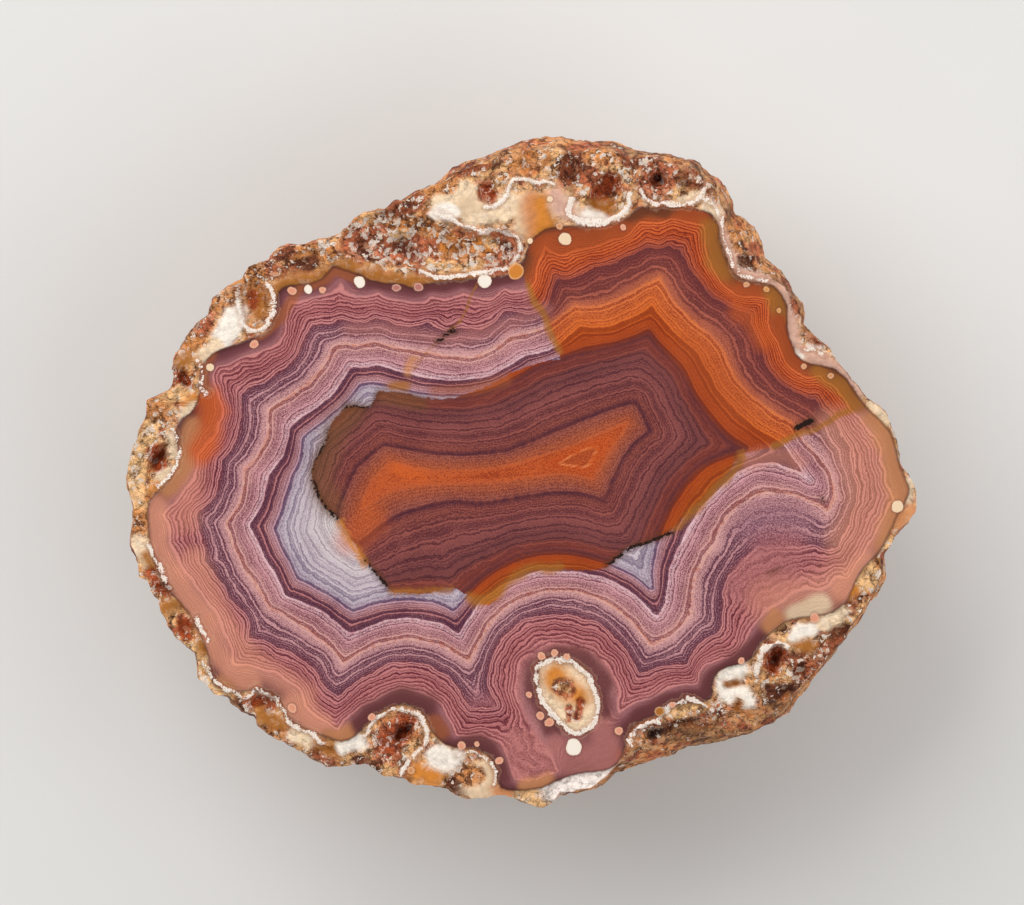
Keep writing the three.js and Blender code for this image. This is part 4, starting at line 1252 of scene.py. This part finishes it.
class Graph:
    """Small helpers that make and link the nodes of one material. Its places are in millimetres."""

    def __init__(self, name):
        self.material = bpy.data.materials.new(name)
        self.material.use_nodes = True
        self.tree = self.material.node_tree
        self.shader = self.tree.nodes["Principled BSDF"]
        scale = self.node("ShaderNodeVectorMath", operation="SCALE")
        self.feed(scale.inputs[0], self.node("ShaderNodeTexCoord").outputs["Object"])
        self.feed(scale.inputs["Scale"], MM_PER_METRE)
        self.place = scale.outputs[0]
        shift = self.node("ShaderNodeTexNoise")
        self.feed(shift.inputs["Vector"], self.place)
        self.feed(shift.inputs["Scale"], WOBBLES_PER_MM)
        wobble = self.node("ShaderNodeVectorMath", operation="MULTIPLY_ADD")
        for socket, value in zip(wobble.inputs, (shift.outputs["Color"], WOBBLE_REACH, self.place)):
            self.feed(socket, value)
        self.wobbly = wobble.outputs[0]

    def node(self, kind, **settings):
        made = self.tree.nodes.new(kind)
        for name, value in settings.items():
            setattr(made, name, value)
        return made

    def feed(self, socket, value):
        if isinstance(value, bpy.types.NodeSocket):
            self.tree.links.new(value, socket)
        else:
            socket.default_value = value

    def attribute(self, name, output="Fac"):
        return self.node("ShaderNodeAttribute", attribute_name=name).outputs[output]

    def math(self, operation, first, second=0.0, third=0.0):
        made = self.node("ShaderNodeMath", operation=operation)
        for socket, value in zip(made.inputs, (first, second, third)):
            self.feed(socket, value)
        return made.outputs[0]

    def plus(self, base, value, factor):
        """The base plus the factor times the value."""
        return self.math("MULTIPLY_ADD", value, factor, base)

    def times(self, first, second):
        return self.math("MULTIPLY", first, second)

    def mix(self, share, first, second, blend="MIX"):
        made = self.node("ShaderNodeMix", data_type="RGBA", blend_type=blend)
        self.feed(made.inputs["Factor"], share)
        self.feed(made.inputs["A"], first)
        self.feed(made.inputs["B"], second)
        return made.outputs["Result"]

    def cover(self, colour, share, shade):
        """Lays one of the named shades over a colour."""
        return self.mix(share, colour, (*linear(SHADES[shade]), 1))

    def step(self, low, high, value):
        made = self.node("ShaderNodeMapRange", interpolation_type="SMOOTHSTEP")
        self.feed(made.inputs["Value"], value)
        self.feed(made.inputs["From Min"], low)
        self.feed(made.inputs["From Max"], high)
        return made.outputs["Result"]

    def noise(self, per_mm, detail=2.0, rough=0.5):
        """Even noise of about -1 to 1."""
        made = self.node("ShaderNodeTexNoise")
        self.feed(made.inputs["Vector"], self.place)
        self.feed(made.inputs["Scale"], per_mm)
        self.feed(made.inputs["Detail"], detail)
        self.feed(made.inputs["Roughness"], rough)
        return self.plus(-1, made.outputs["Fac"], 2)

    def line_noise(self, value, per_unit):
        """Noise of about -1 to 1 along one value."""
        made = self.node("ShaderNodeTexNoise", noise_dimensions="1D")
        self.feed(made.inputs["W"], value)
        self.feed(made.inputs["Scale"], per_unit)
        return self.plus(-1, made.outputs["Fac"], 2)

    def cells(self, per_mm):
        """Wobbly cells, as a distance from each one's middle and a random colour for each."""
        made = self.node("ShaderNodeTexVoronoi")
        self.feed(made.inputs["Vector"], self.wobbly)
        self.feed(made.inputs["Scale"], per_mm)
        return made.outputs["Distance"], made.outputs["Color"]

    def ramp(self, value, stops):
        made = self.node("ShaderNodeValToRGB")
        self.feed(made.inputs["Fac"], value)
        elements = made.color_ramp.elements
        while len(elements) < len(stops):
            elements.new(0.5)
        for element, (place, level) in zip(elements, stops):
            element.position = place
            element.color = (level, level, level, 1)
        return made.outputs["Color"]


def fine_lightness(graph, band):
    """How light the fine bands are, 0 to 1."""
    lightness = None
    for number, stops in enumerate(FINE_BANDS):
        here = graph.ramp(graph.math("SUBTRACT", band, number), stops)
        if lightness is None:
            lightness = here
        else:
            lightness = graph.mix(graph.math("GREATER_THAN", band, number), lightness, here)
    return lightness


def banded_look(graph, fine, small, middling):
    """Fine growth bands, with a different pair of colours where they are stained."""
    flow = graph.plus(graph.attribute("band"), middling, FLOW_WANDER)
    flow = graph.plus(flow, small, FLOW_WANDER)
    lobe = graph.plus(-LOBE_MIDDLE * LOBE_REACH, graph.cells(LOBES_PER_MM)[0], LOBE_REACH)
    lobe = graph.times(lobe, graph.ramp(graph.math("DIVIDE", flow, len(GROWTH_LINES)), LOBES))
    flow = graph.math("ADD", flow, lobe)
    lightness = fine_lightness(graph, flow)
    tighter = graph.plus(flow, graph.times(flow, flow), LINE_TIGHTENING)
    lightness = graph.plus(lightness, graph.line_noise(tighter, LINES_PER_BAND), 0.75)
    lightness = graph.plus(lightness, graph.noise(0.25), 0.25)
    lightness = graph.plus(lightness, graph.math("SUBTRACT", 0.5, lightness), graph.attribute("calm"))
    grainy = graph.ramp(graph.math("DIVIDE", flow, len(GROWTH_LINES)), STIPPLE)
    lightness = graph.plus(lightness, fine, graph.times(grainy, 1.5))
    lightness = graph.math("POWER", graph.step(0.04, 0.92, lightness), 1.3)

    looks = []
    for kind in ("plain", "stained"):
        dark, light = graph.attribute(kind + "_dark", "Color"), graph.attribute(kind + "_light", "Color")
        looks.append(graph.mix(lightness, dark, light))
    edge = graph.plus(graph.attribute("stain"), small, 0.3)
    edge = graph.plus(edge, fine, 0.25)
    return graph.mix(graph.step(-0.08, 0.08, edge), *looks)


def rind_tone(graph, fine, small, lumps, crumbs, crumbly):
    """How light the rind is: softly lined where it is clear; where it crumbles, lumps painted lit in the
    middle, shaded in the creases.
    """
    rind = graph.attribute("rind")
    soft = graph.plus(0.72, graph.step(0, 1, rind), 0.3)
    soft = graph.plus(soft, small, 0.25)
    soft = graph.plus(soft, graph.line_noise(rind, 2.5), 0.16)

    lump, lump_shade = lumps
    crumb, crumb_shade = crumbs
    tone = graph.plus(0.74, lump_shade, 0.7)
    tone = graph.plus(tone, crumb_shade, 0.55)
    # Painted light and shade: each lump is lighter in its middle and darker towards the creases around it.
    tone = graph.plus(tone, graph.step(0.3, 0.75, lump), -0.55)
    tone = graph.plus(tone, graph.step(0.35, 0.8, crumb), -0.35)
    tone = graph.plus(tone, fine, 0.45)
    tone = graph.math("MINIMUM", graph.math("MAXIMUM", tone, 0.2), 1.45)
    return graph.plus(soft, graph.math("SUBTRACT", tone, soft), crumbly)


def rind_look(graph, fine, small, middling):
    """Smooth translucent stone and crumbly stone of small lumps, with painted shade in creases, hollows and
    pits, and how high the lumps stand.
    """
    crumbly = graph.attribute("crumbly")
    lumps, crumbs = graph.cells(LUMPS_PER_MM), graph.cells(CRUMBS_PER_MM)
    tone = rind_tone(graph, fine, small, lumps, crumbs, crumbly)
    lump, lump_shade = lumps
    colour = graph.mix(1.0, graph.attribute("rind_colour", "Color"), tone, "MULTIPLY")
    # Painted shade: dims the darkest lumps and the creases between lumps.
    colour = graph.cover(colour, graph.times(graph.step(0.8, 0.25, tone), 0.65), "dark lump and crease shade")

    # Painted shade: some cells are darkened as shaded hollows.
    hollow_shade = graph.step(0.27, 0.13, graph.plus(lump_shade, small, 0.35))
    colour = graph.cover(colour, graph.times(hollow_shade, graph.times(crumbly, 0.7)), "hollow_shade")
    # White crystals, partly painted glints.
    crystal_and_glint = graph.plus(graph.cells(CRYSTALS_PER_MM)[1], graph.attribute("druse"), 0.15)
    crystal_and_glint = graph.plus(crystal_and_glint, middling, 0.35)
    crystal_and_glint = graph.step(0.72, 0.82, graph.plus(crystal_and_glint, fine, 0.22))
    colour = graph.cover(colour, graph.times(crystal_and_glint, graph.times(crumbly, 0.95)), "crystal and glint")
    pale = graph.step(0.74, 0.84, graph.plus(lump_shade, fine, 0.3))
    colour = graph.cover(colour, graph.times(pale, graph.times(crumbly, 0.4)), "pale lump")
    # Painted shadow where the stone is sunk deepest, in pits and broken-away stone.
    shadow = graph.step(1.4, 3.4, graph.attribute("sunk"))
    colour = graph.cover(colour, graph.times(shadow, 0.75), "pit shadow")

    height = graph.plus(graph.plus(lump, crumbs[0], 0.4), fine, -0.4)
    return colour, graph.times(height, graph.times(crumbly, -1))


def with_rims(graph, colour, fine, small):
    """Ragged white rims in the rind, each with a brown seam and a pale echo beside it."""
    rim = graph.plus(graph.attribute("rim"), small, 0.45)
    rim = graph.plus(rim, fine, 0.24)
    colour = graph.cover(colour, graph.times(graph.step(-0.6, -0.05, rim), 0.38), "seam")
    echo = graph.ramp(graph.plus(0.5, rim, 0.5), [(0.2, 0), (0.28, 0.16), (0.36, 0)])
    colour = graph.cover(colour, echo, "echo")
    pale = graph.cover((*linear(SHADES["dull rim"]), 1), graph.step(-0.5, 0.2, fine), "bright rim")
    return graph.mix(graph.times(graph.step(-0.1, 0.06, rim), 0.92), colour, pale)


def with_spots(graph, colour, fine):
    """Small round inclusions, each with a pale ring inside its edge and a dark halo around it."""
    mark = graph.plus(graph.attribute("mark"), fine, 0.08)
    spot = graph.attribute("mark_colour", "Color")
    spot = graph.cover(spot, graph.times(graph.step(0.26, 0.1, mark), 0.3), "spot ring")
    colour = graph.cover(colour, graph.times(graph.step(-0.35, 0, mark), 0.35), "spot halo")
    return graph.mix(graph.step(-0.05, 0.05, mark), colour, spot)


def with_specks(graph, colour):
    """Black moss-like specks, each in a brown stain."""
    speck = graph.attribute("speck")
    colour = graph.cover(colour, graph.times(graph.step(-0.5, 0.3, speck), 0.5), "speck stain")
    speck = graph.plus(graph.noise(3.6, 2, 0.6), speck, 3.0)
    return graph.cover(colour, graph.step(0.5, 0.7, speck), "speck")


def agate_material():
    """Polished banded stone with its stains and inclusions, and the crumbly rind and back around it."""
    graph = Graph("agate")
    fine, small, middling = graph.noise(6.2, 1), graph.noise(1.6), graph.noise(0.7)
    colour = banded_look(graph, fine, small, middling)
    crack = graph.step(-0.12, 0.06, graph.plus(graph.attribute("crack"), fine, 0.06))
    colour = graph.cover(colour, graph.times(crack, 0.8), "crack")

    stone, height = rind_look(graph, fine, small, middling)
    edge = graph.plus(graph.attribute("rind"), small, 0.15)
    wall = graph.times(graph.step(0.3, 0.0, graph.math("ABSOLUTE", edge)), 0.6)
    colour = graph.mix(graph.step(-0.06, 0.1, edge), colour, stone)
    colour = graph.cover(colour, wall, "wall")
    colour = with_rims(graph, colour, fine, small)
    colour = with_spots(graph, colour, fine)
    colour = with_specks(graph, colour)

    bump = graph.node("ShaderNodeBump")
    graph.feed(bump.inputs["Height"], height)
    graph.feed(bump.inputs["Distance"], LUMP_RELIEF)
    roughening = CRUMBLY_ROUGHNESS - POLISHED_ROUGHNESS
    for name, value in {
        "Base Color": colour,
        "Roughness": graph.plus(POLISHED_ROUGHNESS, graph.attribute("crumbly"), roughening),
        "Normal": bump.outputs["Normal"],
        "IOR": QUARTZ_IOR,
        "Specular IOR Level": GLOSS,
    }.items():
        graph.feed(graph.shader.inputs[name], value)
    return graph.material


def floor_material():
    graph = Graph("pale_floor")
    shade = graph.mix(graph.step(-1, 1, graph.noise(0.02)), *FLOOR_SHADES)
    graph.feed(graph.shader.inputs["Base Color"], shade)
    graph.feed(graph.shader.inputs["Roughness"], FLOOR_ROUGHNESS)
    return graph.material


def add_floor():
    half = FLOOR_SIZE / 2
    mesh = bpy.data.meshes.new("floor")
    corners = [(-half, -half, 0), (half, -half, 0), (half, half, 0), (-half, half, 0)]
    mesh.from_pydata(corners, [], [(0, 1, 2, 3)])
    mesh.materials.append(floor_material())
    floor = bpy.data.objects.new("floor", mesh)
    bpy.context.collection.objects.link(floor)


def add_light(name, place, watts, size):
    light = bpy.data.lights.new(name, "AREA")
    light.energy = watts
    light.size = size
    lamp = bpy.data.objects.new(name, light)
    lamp.location = place
    lamp.rotation_euler = (-Vector(place)).to_track_quat("-Z", "Y").to_euler()
    bpy.context.collection.objects.link(lamp)


def add_camera():
    """Looks straight down on the face, with the picture's middle pixel in the middle of the view."""
    x, y = to_face((PICTURE[0] / 2, PICTURE[1] / 2))
    camera_data = bpy.data.cameras.new("camera")
    camera_data.lens = LENS
    camera_data.sensor_width = SENSOR_WIDTH
    camera = bpy.data.objects.new("camera", camera_data)
    height = DEPTH + PICTURE[0] * MM_PER_PIXEL * LENS / SENSOR_WIDTH
    camera.location = (x / MM_PER_METRE, y / MM_PER_METRE, height / MM_PER_METRE)
    bpy.context.collection.objects.link(camera)
    bpy.context.scene.camera = camera


def add_world():
    world = bpy.data.worlds.new("studio")
    world.use_nodes = True
    background = world.node_tree.nodes["Background"]
    background.inputs["Color"].default_value = (1, 1, 1, 1)
    background.inputs["Strength"].default_value = WORLD_STRENGTH
    bpy.context.scene.world = world


agate = bpy.data.objects.new("agate_stone", agate_mesh())
agate.data.materials.append(agate_material())
bpy.context.collection.objects.link(agate)
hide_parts("agate")
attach(agate, "root")

add_floor()
add_camera()
add_world()
for lamp in LAMPS:
    add_light(*lamp)
bpy.context.scene.view_settings.view_transform = "Standard"
